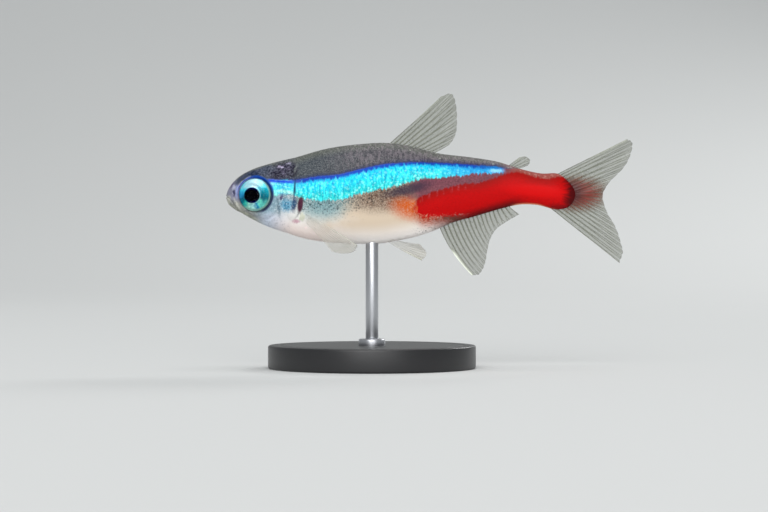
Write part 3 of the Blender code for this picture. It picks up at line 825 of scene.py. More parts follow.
def make_rod():
    return soften_edges(add_cylinder("rod", ROD_RADIUS, BASE_HEIGHT - ROD_SINK, ROD_TOP, 64), 0.08, 2)


base, collar, rod = make_base(), make_collar(), make_rod()
print("stand:", 2 * BASE_RADIUS, "mm across, rod to", round(ROD_TOP, 2), "mm")

# %% [markdown]
# Shader maths reads best as plain expressions. A Wire is a socket that carries a number over the surface,
# and adding, multiplying or subtracting Wires adds the Math nodes. A Wire can carry a colour too, and lay()
# paints another one over it. A Finish is a material in the making: node() adds any other node, with its
# settings first and then the values or links of its sockets.


# %% Wires and finishes
def joining(operation, other_first=False):
    """A method that joins a Wire and another value by a Math node."""
    def method(self, other):
        return self.maths(operation, *((other, self) if other_first else (self, other)))
    return method


class Wire:
    """A number, a place or a colour that varies over the surface."""

    def __init__(self, finish, socket):
        self.finish = finish
        self.socket = socket

    def maths(self, operation, *values):
        made = self.finish.node("Math", {"operation": operation}, dict(enumerate(values)))
        return Wire(self.finish, made.outputs[0])

    __add__ = __radd__ = joining("ADD")
    __mul__ = __rmul__ = joining("MULTIPLY")
    __sub__, __rsub__ = joining("SUBTRACT"), joining("SUBTRACT", other_first=True)
    __truediv__ = joining("DIVIDE")
    power, at_most, at_least = joining("POWER"), joining("MINIMUM"), joining("MAXIMUM")
    turn_from = joining("ARCTAN2")  # the angle whose tangent is this over the other

    def __abs__(self):
        return self.maths("ABSOLUTE", self)

    def sine(self):
        return self.maths("SINE", self)

    def lay(self, tint, share):
        """Paints a tint over this colour, fully where share is 1."""
        self.socket = self.finish.mix(self, tint, share).socket


def linear(red, green, blue):
    """A colour as the eye reads it, from 0 to 255, as the light that a shader wants."""
    shares = [c / 255 for c in (red, green, blue)]
    return tuple(c / 12.92 if c <= 0.04045 else ((c + 0.055) / 1.055) ** 2.4 for c in shares) + (1.0,)


class Finish:
    """A material in the making."""

    def __init__(self, name, **constants):
        self.material = bpy.data.materials.new(name)
        self.material.use_nodes = True
        self.tree = self.material.node_tree
        self.shader = self.tree.nodes["Principled BSDF"]
        self.look(**constants)

    def plug(self, socket, value):
        if isinstance(value, Wire):
            self.tree.links.new(value.socket, socket)
        else:
            socket.default_value = value

    def node(self, kind, settings, values):
        """Adds a node: its settings, among them a ramp's stops or a curve's points, then its sockets."""
        made = self.tree.nodes.new("ShaderNode" + kind)
        for key, value in settings.items():
            if key == "stops":
                ramp = made.color_ramp.elements
                while len(ramp) < len(value):
                    ramp.new(0.5)
                for element, (position, colour) in zip(ramp, value):
                    element.position = position
                    element.color = colour
            elif key == "points":
                curve = made.mapping.curves[0]
                while len(curve.points) < len(value):
                    curve.points.new(0.5, 0.5)
                for point, place in zip(curve.points, value):
                    point.location = place
                made.mapping.extend = "HORIZONTAL"
                made.mapping.update()
            else:
                setattr(made, key, value)
        for key, value in values.items():
            self.plug(made.inputs[key], value)
        return made

    def wire(self, kind, settings, values, output=0):
        return Wire(self, self.node(kind, settings, values).outputs[output])

    def place(self, **mapping):
        """Object coordinates through a Mapping node."""
        here = self.wire("TexCoord", {}, {}, "Object")
        return self.wire("Mapping", {}, {"Vector": here, **mapping})

    def parts(self, vector):
        made = self.node("SeparateXYZ", {}, {0: vector})
        return [Wire(self, output) for output in made.outputs]

    def noise(self, vector, scale, detail=2.0, roughness=0.5, output="Fac"):
        return self.wire("TexNoise", {}, {"Vector": vector, "Scale": scale, "Detail": detail,
                                          "Roughness": roughness}, output)

    def past(self, value, edge, soft):
        """0 where value is short of edge, 1 past it, and smooth over soft each way."""
        return self.wire("MapRange", {"interpolation_type": "SMOOTHSTEP"},
                         {"Value": value - edge, "From Min": -soft, "From Max": soft})

    def short(self, value, edge, soft):
        """1 where value is short of edge, 0 past it."""
        return 1 - self.past(value, edge, soft)

    def bell(self, value, width):
        """1 where value is 0, and 0 past width on both sides."""
        return self.short(abs(value), width * 0.6, width * 0.6)

    def bump(self, height, strength, depth):
        """Small bumps for the shader's Normal, their depth in millimetres."""
        return self.wire("Bump", {}, {"Strength": strength, "Distance": depth * MM, "Height": height})

    def mix(self, one, two, share):
        """From colour one to colour two, each a Wire or a triple as linear() takes it."""
        one, two = (linear(*tint) if isinstance(tint, tuple) else tint for tint in (one, two))
        return self.wire("Mix", {"data_type": "RGBA"}, {0: share, 6: one, 7: two}, 2)

    def attribute(self, name):
        return self.wire("Attribute", {"attribute_name": name}, {}, "Fac")

    def look(self, **sockets):
        """Sets or links the shader's own sockets."""
        for key, value in sockets.items():
            self.plug(self.shader.inputs[key.replace("_", " ")], value)
        return self.material


print("a mid grey is", round(linear(128, 128, 128)[0], 3), "as light")

# %% [markdown]
# The skin's markings follow places in the side view, so the finish reads Object coordinates turned into fish
# millimetres. A second, wandering copy of them, pushed about by noise, gives patches and dots the uneven
# edges that pigment has. Patches are ovals, and speckles are cells of uneven size.


# %% A finish in fish millimetres
REACH = 36.0  # length that the marking curves cover
LOW, HIGH = -6.0, 6.0  # heights that they cover


class FishFinish(Finish):
    """A finish that reads places in fish millimetres."""

    def __init__(self, name, **constants):
        super().__init__(name, **constants)
        self.point = self.place(Scale=(1 / MM,) * 3, Location=(ROD_PLACE, 0, -AXIS_HEIGHT))
        self.x, self.y, self.z = self.parts(self.point)

    def wander(self, scale, far):
        """The same places, each moved up to about far by noise."""
        push = self.noise(self.point, scale, 2.0, 0.6, "Color")
        push = self.wire("VectorMath", {"operation": "SUBTRACT"}, {0: push, 1: (0.5, 0.5, 0.5)})
        push = self.wire("VectorMath", {"operation": "SCALE"}, {0: push, "Scale": 4 * far})
        return self.wire("VectorMath", {"operation": "ADD"}, {0: self.point, 1: push})

    def along(self, points):
        """A smooth line of heights along the body."""
        places = [(x / REACH, (z - LOW) / (HIGH - LOW)) for x, z in points]
        level = self.wire("FloatCurve", {"points": places}, {"Value": self.x * (1 / REACH)})
        return level * (HIGH - LOW) + LOW

    def stretched(self, x, y, z, scale, detail=2.0, roughness=0.5):
        """Noise that is x, y and z times as fine along the axes."""
        point = self.wire("Mapping", {}, {"Vector": self.point, "Scale": (x, y, z)})
        return self.noise(point, scale, detail, roughness)

    def away_from(self, x, z):
        """Offsets along and up from a place in the side view, and the distance."""
        along, up = self.x - float(x), self.z - float(z)
        return along, up, (along * along + up * up).power(0.5)

    def oval(self, vector, x, z, length, height, turn=0.0, soft=0.35):
        """1 inside an oval of the side view, with half its length and height and its slope in degrees."""
        within = self.wire("Mapping", {"vector_type": "TEXTURE"},
                           {"Vector": vector, "Location": (x, 0, z), "Rotation": (0, -math.radians(turn), 0),
                            "Scale": (2 * length, 1 / MM, 2 * height)})
        near = self.wire("TexGradient", {"gradient_type": "SPHERICAL"}, {"Vector": within}, "Fac")
        return self.past(near, 0.5, soft / 2)

    def speckles(self, vector, scale, size, uneven=0.3, soft=0.07):
        """1 in small dots, whose size differs from dot to dot."""
        cells = self.node("TexVoronoi", {}, {"Vector": vector, "Scale": scale})
        chance = self.parts(Wire(self, cells.outputs["Color"]))[0]
        distance = Wire(self, cells.outputs["Distance"])
        return self.short(distance + (chance - 0.5) * uneven, size, soft)


print("marking curves cover", REACH, "mm by", HIGH - LOW, "mm")

# %% [markdown]
# A dark back, a deep-blue line, the bright stripe, a silver belly and the red rear half: curves along the
# body give their edges, and upright noise makes those edges jagged, as the stacked plates in the scales do.
# The head has patches of its own: ovals with their place, half their length and height, their slope in
# degrees, the softness of their edge, their colour and its strength.

# %% Places of the markings
STRIPE_TOP = [(0, 1.1), (2.5, 1.5), (3.7, 1.32), (5.85, 1.21), (7.9, 1.5), (9.8, 1.68), (11.7, 2.16),
              (14.25, 2.62), (19.0, 2.68), (21.7, 2.5), (23.3, 2.42), (24.1, 2.24)]
STRIPE_BOTTOM = [(0, -0.1), (3.9, -0.05), (5.85, -0.05), (6.6, -0.35), (9.8, -0.42), (11.05, -0.09),
                 (12.95, 0.35), (14.9, 0.75), (16.2, 1.21), (19.0, 1.5), (20.2, 1.66), (21.7, 1.84),
                 (23.3, 1.88), (24.1, 1.98)]
RED_TOP = [(15.8, -1.2), (16.4, -0.45), (16.8, -0.17), (18.5, 0.43), (20.2, 0.85), (22.0, 1.1), (23.7, 1.65),
           (24.6, 1.95), (25.4, 1.95), (26.3, 1.68), (27.2, 1.5), (28.0, 1.48), (28.9, 1.66), (30.3, 1.5)]
RED_BOTTOM = [(15.8, -1.2), (16.4, -1.6), (17.0, -1.9), (19.0, -1.85), (20.5, -1.85), (22.0, -1.75),
              (24.0, -1.25), (25.5, -0.95), (28.6, -1.4), (30.3, -1.3)]
HEAD_PATCHES = [
    (0.75, 0.35, 0.75, 0.95, 30, 0.5, (132, 132, 154), 0.9),  # snout
    (1.35, 1.4, 0.85, 0.22, 45, 0.5, (52, 60, 82), 0.85),  # dark streak up to the brow
    (1.75, 1.3, 0.7, 0.1, 42, 0.6, (134, 144, 178), 0.6),  # pale streak under it
    (0.5, 0.85, 0.32, 0.12, 60, 0.5, (84, 70, 104), 0.7),
    (0.69, 0.62, 0.16, 0.2, 0, 0.6, (190, 192, 214), 0.7),
    (0.7, 0.14, 0.09, 0.26, 0, 0.6, (34, 38, 84), 0.8),  # nostril
    (0.98, 0.3, 0.14, 0.5, 0, 0.6, (140, 154, 206), 0.7),
    (2.6, 1.86, 0.85, 0.26, 6, 0.5, (8, 34, 62), 0.95),  # dark skin over the eye
    (3.45, 2.05, 0.5, 0.5, 0, 0.6, (60, 70, 84), 0.8),
    (0.2, -0.4, 0.22, 0.3, 0, 0.6, (176, 176, 166), 0.9),  # lower lip
    (1.0, -1.05, 0.6, 0.35, -45, 0.5, (150, 150, 142), 0.8),
    (0.98, -0.85, 0.09, 0.5, 28, 0.6, (206, 206, 196), 0.7),  # edge of the upper jaw
    (0.6, -0.72, 0.06, 0.4, 28, 0.7, (86, 88, 92), 0.6),
    (5.0, 2.05, 1.2, 0.66, 12, 0.35, (36, 30, 50), 0.95),  # dark cap
    (5.75, 1.95, 0.35, 0.5, 20, 0.5, (12, 8, 26), 0.85),
    (4.3, 1.75, 0.4, 0.35, 0, 0.5, (16, 12, 36), 0.75),
    (4.95, 1.9, 0.12, 0.3, 30, 0.7, (112, 106, 130), 0.6),
    (5.4, 2.25, 0.2, 0.12, 30, 0.7, (108, 100, 122), 0.6),
    (4.1, 2.25, 0.3, 0.2, 20, 0.7, (96, 102, 116), 0.6),
    (4.72, 2.38, 0.26, 0.08, -4, 0.6, (206, 196, 226), 0.85),  # painted highlights on the cap, here and in the next line
    (5.45, 2.72, 0.22, 0.1, 20, 0.6, (170, 166, 190), 0.8),
    (6.05, 2.3, 0.07, 0.4, -20, 0.6, (120, 126, 124), 0.6),
    (5.0, 0.62, 1.0, 0.6, 4, 0.3, (56, 206, 228), 0.95),  # bright cheek
    (4.9, 0.85, 0.12, 0.4, 10, 0.6, (20, 130, 190), 0.5),
    (5.5, 0.6, 0.1, 0.4, -10, 0.6, (20, 150, 190), 0.4),
    (5.1, 0.26, 0.62, 0.15, -8, 0.5, (170, 250, 226), 0.85),
    (4.36, 0.1, 0.2, 0.24, 0, 0.5, (112, 240, 220), 0.85),
    (4.1, 1.02, 0.3, 0.14, 30, 0.6, (118, 224, 242), 0.7),
    (4.83, -0.24, 0.13, 0.26, -20, 0.5, (70, 38, 82), 0.85),  # dark red fleck
    (5.35, -0.95, 0.55, 0.48, 0, 0.6, (70, 152, 188), 0.85),
    (5.2, -0.75, 0.1, 0.12, 0, 0.6, (10, 104, 136), 0.7),
    (5.45, -1.05, 0.12, 0.1, 0, 0.6, (10, 104, 136), 0.7),
    (5.15, -1.2, 0.1, 0.1, 0, 0.6, (10, 104, 136), 0.6),
    (4.58, -1.0, 0.1, 0.85, 6, 0.6, (78, 104, 118), 0.7),  # edge of the fore cover
    (5.95, -0.85, 0.22, 0.6, -8, 0.5, (34, 60, 98), 0.92),
    (6.1, -2.3, 0.3, 0.17, 0, 0.6, (186, 132, 150), 0.75),
    (6.6, -1.95, 0.24, 0.36, -6, 0.35, (204, 206, 186), 0.9),  # base of the breast fin
    (6.93, -2.86, 0.13, 0.1, 0, 0.6, (255, 236, 232), 0.9),
]
print(len(HEAD_PATCHES), "patches on the head")

# %% [markdown]
# The finish is built from the ground up: belly and flank first, then the back, the red, the stripe and the
# head, each laid over the last by its own mask. The same material goes on skin, scales and gill covers.


# %% Finish of skin and scales
def paint_flank(f, fine, loose):
    """Silver belly, cream further back, a brown and orange cloud, and dots that thin out downwards."""
    rising = f.z - f.bottom
    colour = f.mix((236, 234, 230), (216, 198, 176), f.past(f.x + f.coarse * 4, 10.5, 3.0))
    colour.lay((146, 180, 186), f.oval(loose, 8.4, -1.15, 1.7, 0.95, 0, 0.7) * 0.85)
    front = f.short(f.x, 9.5, 2.5)
    colour.lay((244, 214, 204), f.short(rising, 0.9, 0.8) * front * 0.8)
    # whiter at the bottom: the belly's own silver, and painted light where the lamps leave it in shade
    colour.lay((252, 246, 242), f.short(rising, 1.0, 0.9) * (1 - front * 0.6))
    under = f.past(f.z + f.ragged, f.stripe_bottom - 0.95, 0.8)
    tint = f.mix((88, 128, 134), (112, 96, 80), f.past(f.x, 11.0, 1.5))
    colour.lay(tint, under * (0.32 + 0.62 * f.past(fine, 0.5, 0.1)))
    brown = f.oval(loose, 14.2, -0.4, 2.8, 1.0, 6, 0.6)
    colour.lay((96, 68, 54), brown * (0.5 + 0.38 * f.past(fine, 0.5, 0.12)))
    dots = f.speckles(loose, 5.5, 0.26, 0.35, 0.22)
    colour.lay((24, 36, 44), dots * f.past(f.z + f.ragged * 1.5, f.stripe_bottom - 1.4, 0.9) * 0.8)
    orange = f.oval(loose, 15.95, -1.15, 1.5, 0.9, -8, 0.7)
    colour.lay((206, 88, 14), orange * (0.62 + 0.35 * f.past(fine, 0.46, 0.14)))
    below = f.past(f.x, 16.4, 0.7) * f.short(f.z, f.red_bottom + 0.2, 0.2)
    near = below * f.past(f.z, f.red_bottom - 0.75, 0.6)
    colour.lay((176, 70, 40), near * (0.7 + 0.3 * f.past(fine, 0.5, 0.14)))
    colour.lay((88, 44, 36), below * f.past(f.x + f.coarse * 2, 19.6, 1.4) * 0.9)
    colour.lay((60, 44, 44), below * f.speckles(loose, 6.0, 0.22, 0.4, 0.22) * 0.6)
    return colour


def paint_back(f, fine, loose):
    """Grey-brown with fine dark grain, olive and painted highlight along the ridge, mauve towards the tail.
    """
    ridge = f.past(f.z, f.top - 0.5, 0.4)
    dark = f.mix((76, 84, 88), (86, 84, 88), f.past(f.x, 10.0, 4.0))
    dark.lay((100, 82, 98), f.past(f.x, 18.5, 4.0))
    # olive along the ridge, made lighter there as a painted highlight from above
    dark.lay((108, 112, 100), ridge * 0.75)
    stalk = f.past(f.x, 24.3, 1.0)
    dark.lay((156, 96, 90), stalk * 0.85)
    grain = f.noise(f.point, 11.0, 1.0)
    dark.lay((34, 34, 46), f.past(grain, 0.54, 0.16) * 0.6)
    dark.lay((128, 128, 130), f.short(grain, 0.42, 0.12) * 0.35)
    dark.lay((20, 20, 30), f.speckles(loose, 8.0, 0.26, 0.4, 0.14) * 0.5)
    dark.lay((140, 130, 136), f.past(f.streaks, 0.54, 0.08) * f.past(f.x, 10.0, 2.0) * 0.35)
    pale = f.speckles(f.point, 2.6, 0.16) * f.past(f.z, f.top - 0.5, 0.2) * f.past(f.x, 9.0, 3.0)
    dark.lay((184, 188, 176), pale * 0.45)
    beads = f.past((f.x * 16).sine() + (grain - 0.5) * 6, 0.1, 0.6)
    on_ridge = f.past(f.z, f.top - 0.16, 0.1) * f.past(f.x, 13.2, 0.8) * f.short(f.x, 18.8, 0.6)
    on_ridge = on_ridge * f.short(abs(f.y), 0.3, 0.2)
    dark.lay(f.mix((44, 46, 50), (190, 192, 184), beads), on_ridge * 0.5)
    dark.lay((22, 36, 84), f.short(f.z - f.stripe_top, 0.2, 0.25) * (1 - stalk) * 0.85)
    dark.lay((166, 56, 44), f.short(f.z - f.red_top, 0.12, 0.14) * stalk * 0.8)
    return dark


def paint_red(f, fine):
    """Red with painted shade on its rims and tail end, and a painted highlight along the tail's stalk."""
    # painted shade along the lower rim of the red, where the body turns under
    shade_under_rim = f.short(f.z - f.bottom, 0.45, 0.45) * f.past(f.x, 20.0, 2.0)
    shade_under_rim = shade_under_rim * f.short(f.x, 25.4, 1.0)
    red = f.mix((192, 1, 3), (164, 1, 4), f.past(fine, 0.55, 0.15) * 0.5)
    red.lay((120, 14, 22), f.short(f.red_top - f.z, 0.12, 0.2) * f.past(fine, 0.45, 0.1) * 0.7)
    # painted shade: the red darker towards its upper edge
    red.lay((138, 10, 4), f.short(f.red_top - f.z, 0.5, 0.5) * 0.75)
    ticks = f.past((f.x * 10.1).sine() + (f.streaks - 0.5) * 4, 0.7, 0.3)
    ticks = ticks * f.bell(f.red_top - f.z - 0.2, 0.35) * f.short(f.x, 21.0, 1.0)
    red.lay((190, 84, 90), ticks * f.past(fine, 0.47, 0.12) * 0.5)
    red.lay((64, 2, 8), shade_under_rim * 0.85)
    # painted highlight: a brighter red core along the round tail's stalk
    red.lay((212, 4, 6), f.oval(f.point, 27.0, 0.35, 2.8, 0.5, -4, 0.5) * 0.8)
    # painted shade: the red darkens, in ragged streaks, towards the tail's end
    spread = f.wire("CombineXYZ", {}, {0: f.x, 1: (f.z - 0.3).turn_from(f.x - 27.5) * 12})
    end = f.x + (f.noise(spread, 1.0, 1.0) - 0.5) * 0.9
    red.lay((66, 3, 6), f.past(end, 29.45, 0.5) * 0.95)
    # painted shade at the lower rim near the tail's end
    heel_shade = f.oval(f.wander(3.0, 0.15), 28.9, -1.15, 1.1, 0.4, 0, 0.6)
    red.lay((116, 4, 10), heel_shade * 0.8)
    pale_rim = f.short(f.z - f.bottom, 0.1, 0.06) * f.past(f.x, 24.9, 0.5) * f.short(f.x, 28.2, 0.6)
    red.lay((240, 150, 110), pale_rim * 0.7)
    return red


def paint_stripe(f, fine, loose):
    """Cyan with upright streaks and mint sparkles, under a line of deep blue."""
    share = (f.z - f.stripe_bottom) / (f.stripe_top - f.stripe_bottom)
    glow = f.mix((38, 206, 200), (8, 196, 232), f.past(share + (f.streaks - 0.5), 0.4, 0.35))
    glow.lay((0, 132, 176), f.short(f.streaks, 0.43, 0.08) * 0.6)
    glow.lay((70, 238, 246), f.past(f.streaks, 0.56, 0.06) * 0.7)
    sparkle = f.speckles(loose, 4.0, 0.28, 0.35, 0.24) * (1.1 - share).at_least(0.3)
    rear = f.past(f.x + f.coarse, 19.8, 2.4)
    glow.lay((40, 124, 204), rear * 0.7)
    glow.lay((0, 110, 186), f.past(fine, 0.56, 0.08) * 0.35)
    glow.lay(f.mix((168, 255, 236), (90, 210, 255), rear), sparkle * 0.65)
    glow.lay((130, 206, 246), f.oval(loose, 23.5, 2.1, 0.75, 0.16, 0, 0.5))
    line = f.past(f.z + (f.streaks - 0.5) * 0.9, f.stripe_top - 0.3 + 0.12 * f.past(f.x, 14.0, 2.0), 0.16)
    line = line * (1 - 0.5 * f.past(f.x, 22.5, 1.5))
    glow.lay(f.mix((4, 52, 150), (2, 60, 160), f.past(f.x + f.coarse * 3, 10.5, 1.5)), line)
    return glow


def skin_finish():
    f = FishFinish("fish_skin", Coat_Weight=0.05, Coat_Roughness=0.15, Specular_IOR_Level=0.08)
    f.top, f.bottom = f.along(BACK[1:]), f.along(BELLY[1:])
    f.stripe_top = f.along(STRIPE_TOP) + (f.noise(f.point, 3.0, 2.0) - 0.5) * 0.18
    f.stripe_bottom = f.along(STRIPE_BOTTOM)
    f.red_top, f.red_bottom = f.along(RED_TOP), f.along(RED_BOTTOM)
    f.coarse = f.noise(f.point, 1.2, 1.0)
    f.streaks = f.stretched(5.0, 3.0, 1.5, 1.0, 2.0, 0.6)
    f.ragged = f.streaks - 0.5
    fine = f.noise(f.point, 8.0, 2.0, 0.6)
    loose = f.wander(5.0, 0.1)

    colour = paint_flank(f, fine, loose)
    mauve = f.past(f.z, f.red_top.at_least(-0.1) - 0.3, 0.25) * f.past(f.x + f.ragged, 15.9, 0.9)
    purple = f.mix((92, 40, 56), (134, 74, 88), f.past(fine, 0.5, 0.2))
    stalk = f.past(f.x, 24.6, 0.8)
    purple.lay((140, 62, 56), stalk)
    purple.lay((204, 150, 140), f.speckles(loose, 5.0, 0.24, 0.4, 0.2) * stalk * 0.45)
    colour.lay(purple, mauve * 0.95)
    colour.lay((54, 44, 62), f.oval(loose, 15.7, 0.45, 1.9, 0.45, 14, 0.6) * 0.85)
    colour.lay(paint_back(f, fine, loose), f.past(f.z, f.stripe_top, 0.07))

    under_top = f.short(f.z + f.ragged * 0.5, f.red_top, 0.1)
    over_bottom = f.past(f.z + f.ragged * 0.5 + (fine - 0.5), f.red_bottom, 0.16)
    over_bottom = over_bottom.at_least(f.past(f.x, 20.5, 0.8))
    red = f.past(f.x + f.ragged * 1.2, 16.35, 0.3) * under_top * over_bottom
    colour.lay(paint_red(f, fine), red)

    rear_end = f.short(f.x, 24.0, 0.3)
    stripe = f.past(f.stripe_top - f.z, -0.05, 0.08) * f.past(f.z + f.ragged * 0.7, f.stripe_bottom, 0.1)
    stripe = stripe * rear_end
    colour.lay(paint_stripe(f, fine, loose), stripe * f.past(f.x, 5.7, 0.25))

    ahead = f.short(f.x - 0.25 * f.z, 5.3, 1.4)
    soft = f.noise(f.point, 3.5, 4.0, 0.65)
    cheek = f.mix((196, 206, 222), (140, 170, 184), f.past(f.z + f.coarse * 2, -0.7, 0.7))
    cheek.lay((74, 104, 122), f.past(soft, 0.52, 0.16) * f.past(f.z, -1.8, 0.8) * 0.55)
    jaw = f.mix((152, 154, 150), (178, 180, 162), f.short(f.z - f.bottom, 0.3, 0.2))
    jaw.lay((92, 96, 100), f.past(soft, 0.5, 0.14) * 0.6)
    face = f.mix(jaw, cheek, f.past(f.x, 2.9, 0.8))
    crown = f.mix((72, 78, 90), (112, 116, 104), f.past(f.z, f.top - 0.16, 0.1))
    face.lay(crown, f.past(f.z, f.stripe_top - 0.15, 0.25))
    colour.lay(face, ahead * (1 - f.past(f.z - f.stripe_top, 0.0, 0.1) * f.past(f.x, 4.0, 0.4)))
    for *form, tint, strength in HEAD_PATCHES:
        colour.lay(tint, f.oval(loose, *form) * strength)
    cheek_glow = f.oval(loose, 5.0, 0.55, 1.0, 0.6, 4, 0.35)
    colour.lay((8, 122, 178), f.past(f.streaks, 0.54, 0.08) * cheek_glow * 0.5)
    colour.lay((176, 252, 240), f.speckles(loose, 6.0, 0.26, 0.35, 0.2) * cheek_glow * 0.55)
    cheek_spots = f.speckles(f.point, 3.6, 0.3, 0.4, 0.2) * f.oval(loose, 5.3, -0.88, 0.75, 0.6, 0, 0.5)
    colour.lay((8, 84, 118), cheek_spots * 0.7)
    # painted highlights: white glints painted on the lower cheek
    painted_cheek_glints = f.speckles(loose, 6.5, 0.24, 0.4, 0.2) * f.oval(loose, 4.5, -0.75, 1.5, 0.8, 0, 0.5)
    colour.lay((222, 238, 250), painted_cheek_glints * 0.6)
    on_head = f.short(f.x, 5.9, 0.3)
    dots = f.speckles(loose, 5.0, 0.22, 0.4, 0.2) * on_head
    colour.lay((40, 46, 62), dots * (0.25 + 0.25 * f.past(f.z, f.stripe_top, 0.3)))
    grain = f.noise(f.point, 6.0, 4.0, 0.7)
    above_line = f.past(f.z, f.stripe_top + 0.1, 0.2) * on_head
    colour.lay((14, 14, 32), f.past(grain, 0.52, 0.14) * above_line * 0.6)
    colour.lay((136, 138, 156), f.short(grain, 0.44, 0.12) * above_line * 0.35)
    blue_line = f.bell(f.z - f.stripe_top + 0.12, 0.2) * f.past(f.x, 3.7, 0.15) * on_head
    colour.lay((8, 60, 186), blue_line)

    eye_x, eye_z, ring = f.away_from(EYE_CENTRE[0], EYE_CENTRE[2])
    behind = f.bell(ring - 1.54, 0.18) * f.past(eye_x + eye_z * 0.2, 0.1, 0.5)
    navy = f.mix((34, 40, 76), (0, 78, 176), f.past(eye_z, 0.3, 0.6))
    colour.lay((140, 176, 232), f.bell(ring - 1.41, 0.1) * f.past(eye_z, 0.6, 0.3) * 0.6)
    colour.lay(navy, behind)
    above = f.bell(ring - 1.53, 0.08) * f.past(eye_z, 0.5, 0.4)
    colour.lay((24, 72, 178), above * 0.85)

    slit = f.oval(f.point, 6.47, -0.85, 0.23, 0.7, -8, 0.3)
    colour.lay((74, 10, 46), slit * 0.95)
    edge = f.oval(f.point, 5.97, 0.45, 0.09, 0.85, -4, 0.5)
    colour.lay((8, 44, 84), edge * 0.85)
    return f.look(Base_Color=colour, Metallic=stripe * 0.2, Roughness=0.5 - 0.12 * stripe,
                  Normal=f.bump(fine, 0.1, 0.04))


def give(material, *pieces):
    for piece in pieces:
        piece.data.materials.clear()
        piece.data.materials.append(material)


fish_skin = skin_finish()
give(fish_skin, skin, gill_cover_left, gill_cover_right, scales_left, scales_right)
print("skin finish:", len(fish_skin.node_tree.nodes), "nodes")

# %% [markdown]
# Fin membrane is thin and partly clear, so it is see-through and its rays show best. The attributes kept on
# each fin drive its colour and its opacity. The tail fin is flushed with red and brown where it leaves the
# body.


# %% Finishes of the fins
def fin_finish(name, membrane, rays, clear=0.0, flushed=False):
    f = FishFinish(name, Roughness=0.4)
    ray, reach, streak = f.attribute("ray"), f.attribute("reach"), f.attribute("streak")
    colour = f.mix(membrane, rays, ray)
    opacity = 0.27 + ray * (0.55 - 0.25 * reach) + f.noise(f.point, 9.0, 2.0) * 0.1 - reach * 0.08
    dots = f.speckles(f.wander(5.0, 0.08), 7.0, 0.22, 0.4, 0.12) * (1 - reach * 0.7)
    colour.lay((30, 34, 28), dots * 0.6)
    opacity = opacity + dots * 0.12
    if flushed:
        middle = f.oval(f.wander(3.0, 0.15), 30.4, 0.15, 2.3, 1.25, 0, 0.6)
        colour.lay(f.mix((106, 36, 20), (132, 20, 10), ray), middle * 0.95)
        root = f.oval(f.wander(3.0, 0.15), 30.0, 0.2, 1.0, 1.0, 0, 0.5)
        colour.lay((66, 10, 8), root * 0.9)
        opacity = opacity + middle * 0.6 + root * 0.3
    colour.lay((240, 244, 230), streak)
    return f.look(Base_Color=colour, Alpha=(opacity * (1 - clear * (1 - 0.6 * reach)) + streak).at_most(1.0))


OLIVE, DARK_OLIVE = (92, 98, 74), (100, 104, 84)
give(fin_finish("fin_membrane", OLIVE, DARK_OLIVE), *fins)
give(fin_finish("paired_fin_membrane", (206, 202, 190), (164, 162, 148), clear=0.85), *paired_fins)
give(fin_finish("tail_membrane", OLIVE, DARK_OLIVE, flushed=True), fin_caudal)
print("fin finishes given")

# %% [markdown]
# The iris changes colour with direction round the pupil: palest above, a painted highlight where light falls
# on it, sky blue ahead, teal behind and pale green with one blue patch below. A ramp over the angle gives
# that, and noise breaks it up. The pupil is black, with a blue tint where the lens meets the iris.

# %% Finishes of the eyes
IRIS_COLOURS = [
    (0.0, (50, 160, 222)), (0.05, (14, 92, 124)), (0.11, (20, 112, 122)), (0.16, (40, 196, 176)),
    (0.21, (170, 240, 214)), (0.27, (180, 244, 240)), (0.32, (10, 140, 192)), (0.39, (120, 240, 216)),
    # the pale stops at 0.7 and 0.83, above the pupil, are a painted highlight
    (0.47, (24, 104, 114)), (0.56, (14, 156, 176)), (0.62, (110, 212, 234)), (0.7, (196, 238, 248)),
    (0.83, (172, 234, 248)), (0.91, (70, 216, 240)), (1.0, (50, 160, 222)),
]


def eye_finish():
    f = FishFinish("iris", Specular_IOR_Level=0.0)
    eye_x, eye_z, radius = f.away_from(EYE_CENTRE[0] - PUPIL_SHIFT, EYE_CENTRE[2] - PUPIL_DROP)
    patches = f.noise(f.point, 2.2, 1.5)
    turn = eye_z.turn_from(eye_x) * (0.5 / math.pi) + 0.5 + (patches - 0.5) * 0.16
    stops = [(place, linear(*colour)) for place, colour in IRIS_COLOURS]
    iris = f.wire("ValToRGB", {"stops": stops}, {0: turn})
    fleck = f.past(f.noise(f.point, 5.0, 3.0, 0.6), 0.5, 0.16)
    iris.lay((0, 104, 140), fleck * f.short(eye_z, 0.3, 0.4) * 0.45)
    outer_x, outer_z, outer = f.away_from(EYE_CENTRE[0], EYE_CENTRE[2])
    iris.lay((142, 186, 174), f.past(outer, 1.24, 0.05) * f.past(eye_x - eye_z * 0.7, 0.1, 0.5) * 0.85)
    iris.lay((18, 62, 110), f.past(outer, 1.36, 0.04) * f.past(outer_z + abs(outer_x) * 0.8, 0.4, 0.5))
    iris.lay((190, 216, 220), f.bell(radius - 0.73, 0.03) * f.past(eye_x, 0.1, 0.4) * 0.6)
    pupil = f.mix((1, 1, 4), (0, 4, 70), f.past(radius, 0.56, 0.1) * f.past(abs(eye_z), 0.4, 0.2))
    dark = f.short(radius, PUPIL_RADIUS - 0.01, 0.025)
    iris.lay(pupil, dark)
    return f.look(Base_Color=iris, Metallic=(1 - dark) * 0.3, Roughness=0.3)


clear_front = Finish("clear_front", Base_Color=(0, 0, 0, 1), Roughness=0.02, Alpha=0.12,
                     Specular_IOR_Level=0.5).material
give(eye_finish(), eyeball_left, eyeball_right)
give(clear_front, cornea_left, cornea_right)
print(len(IRIS_COLOURS), "colours round the pupil")

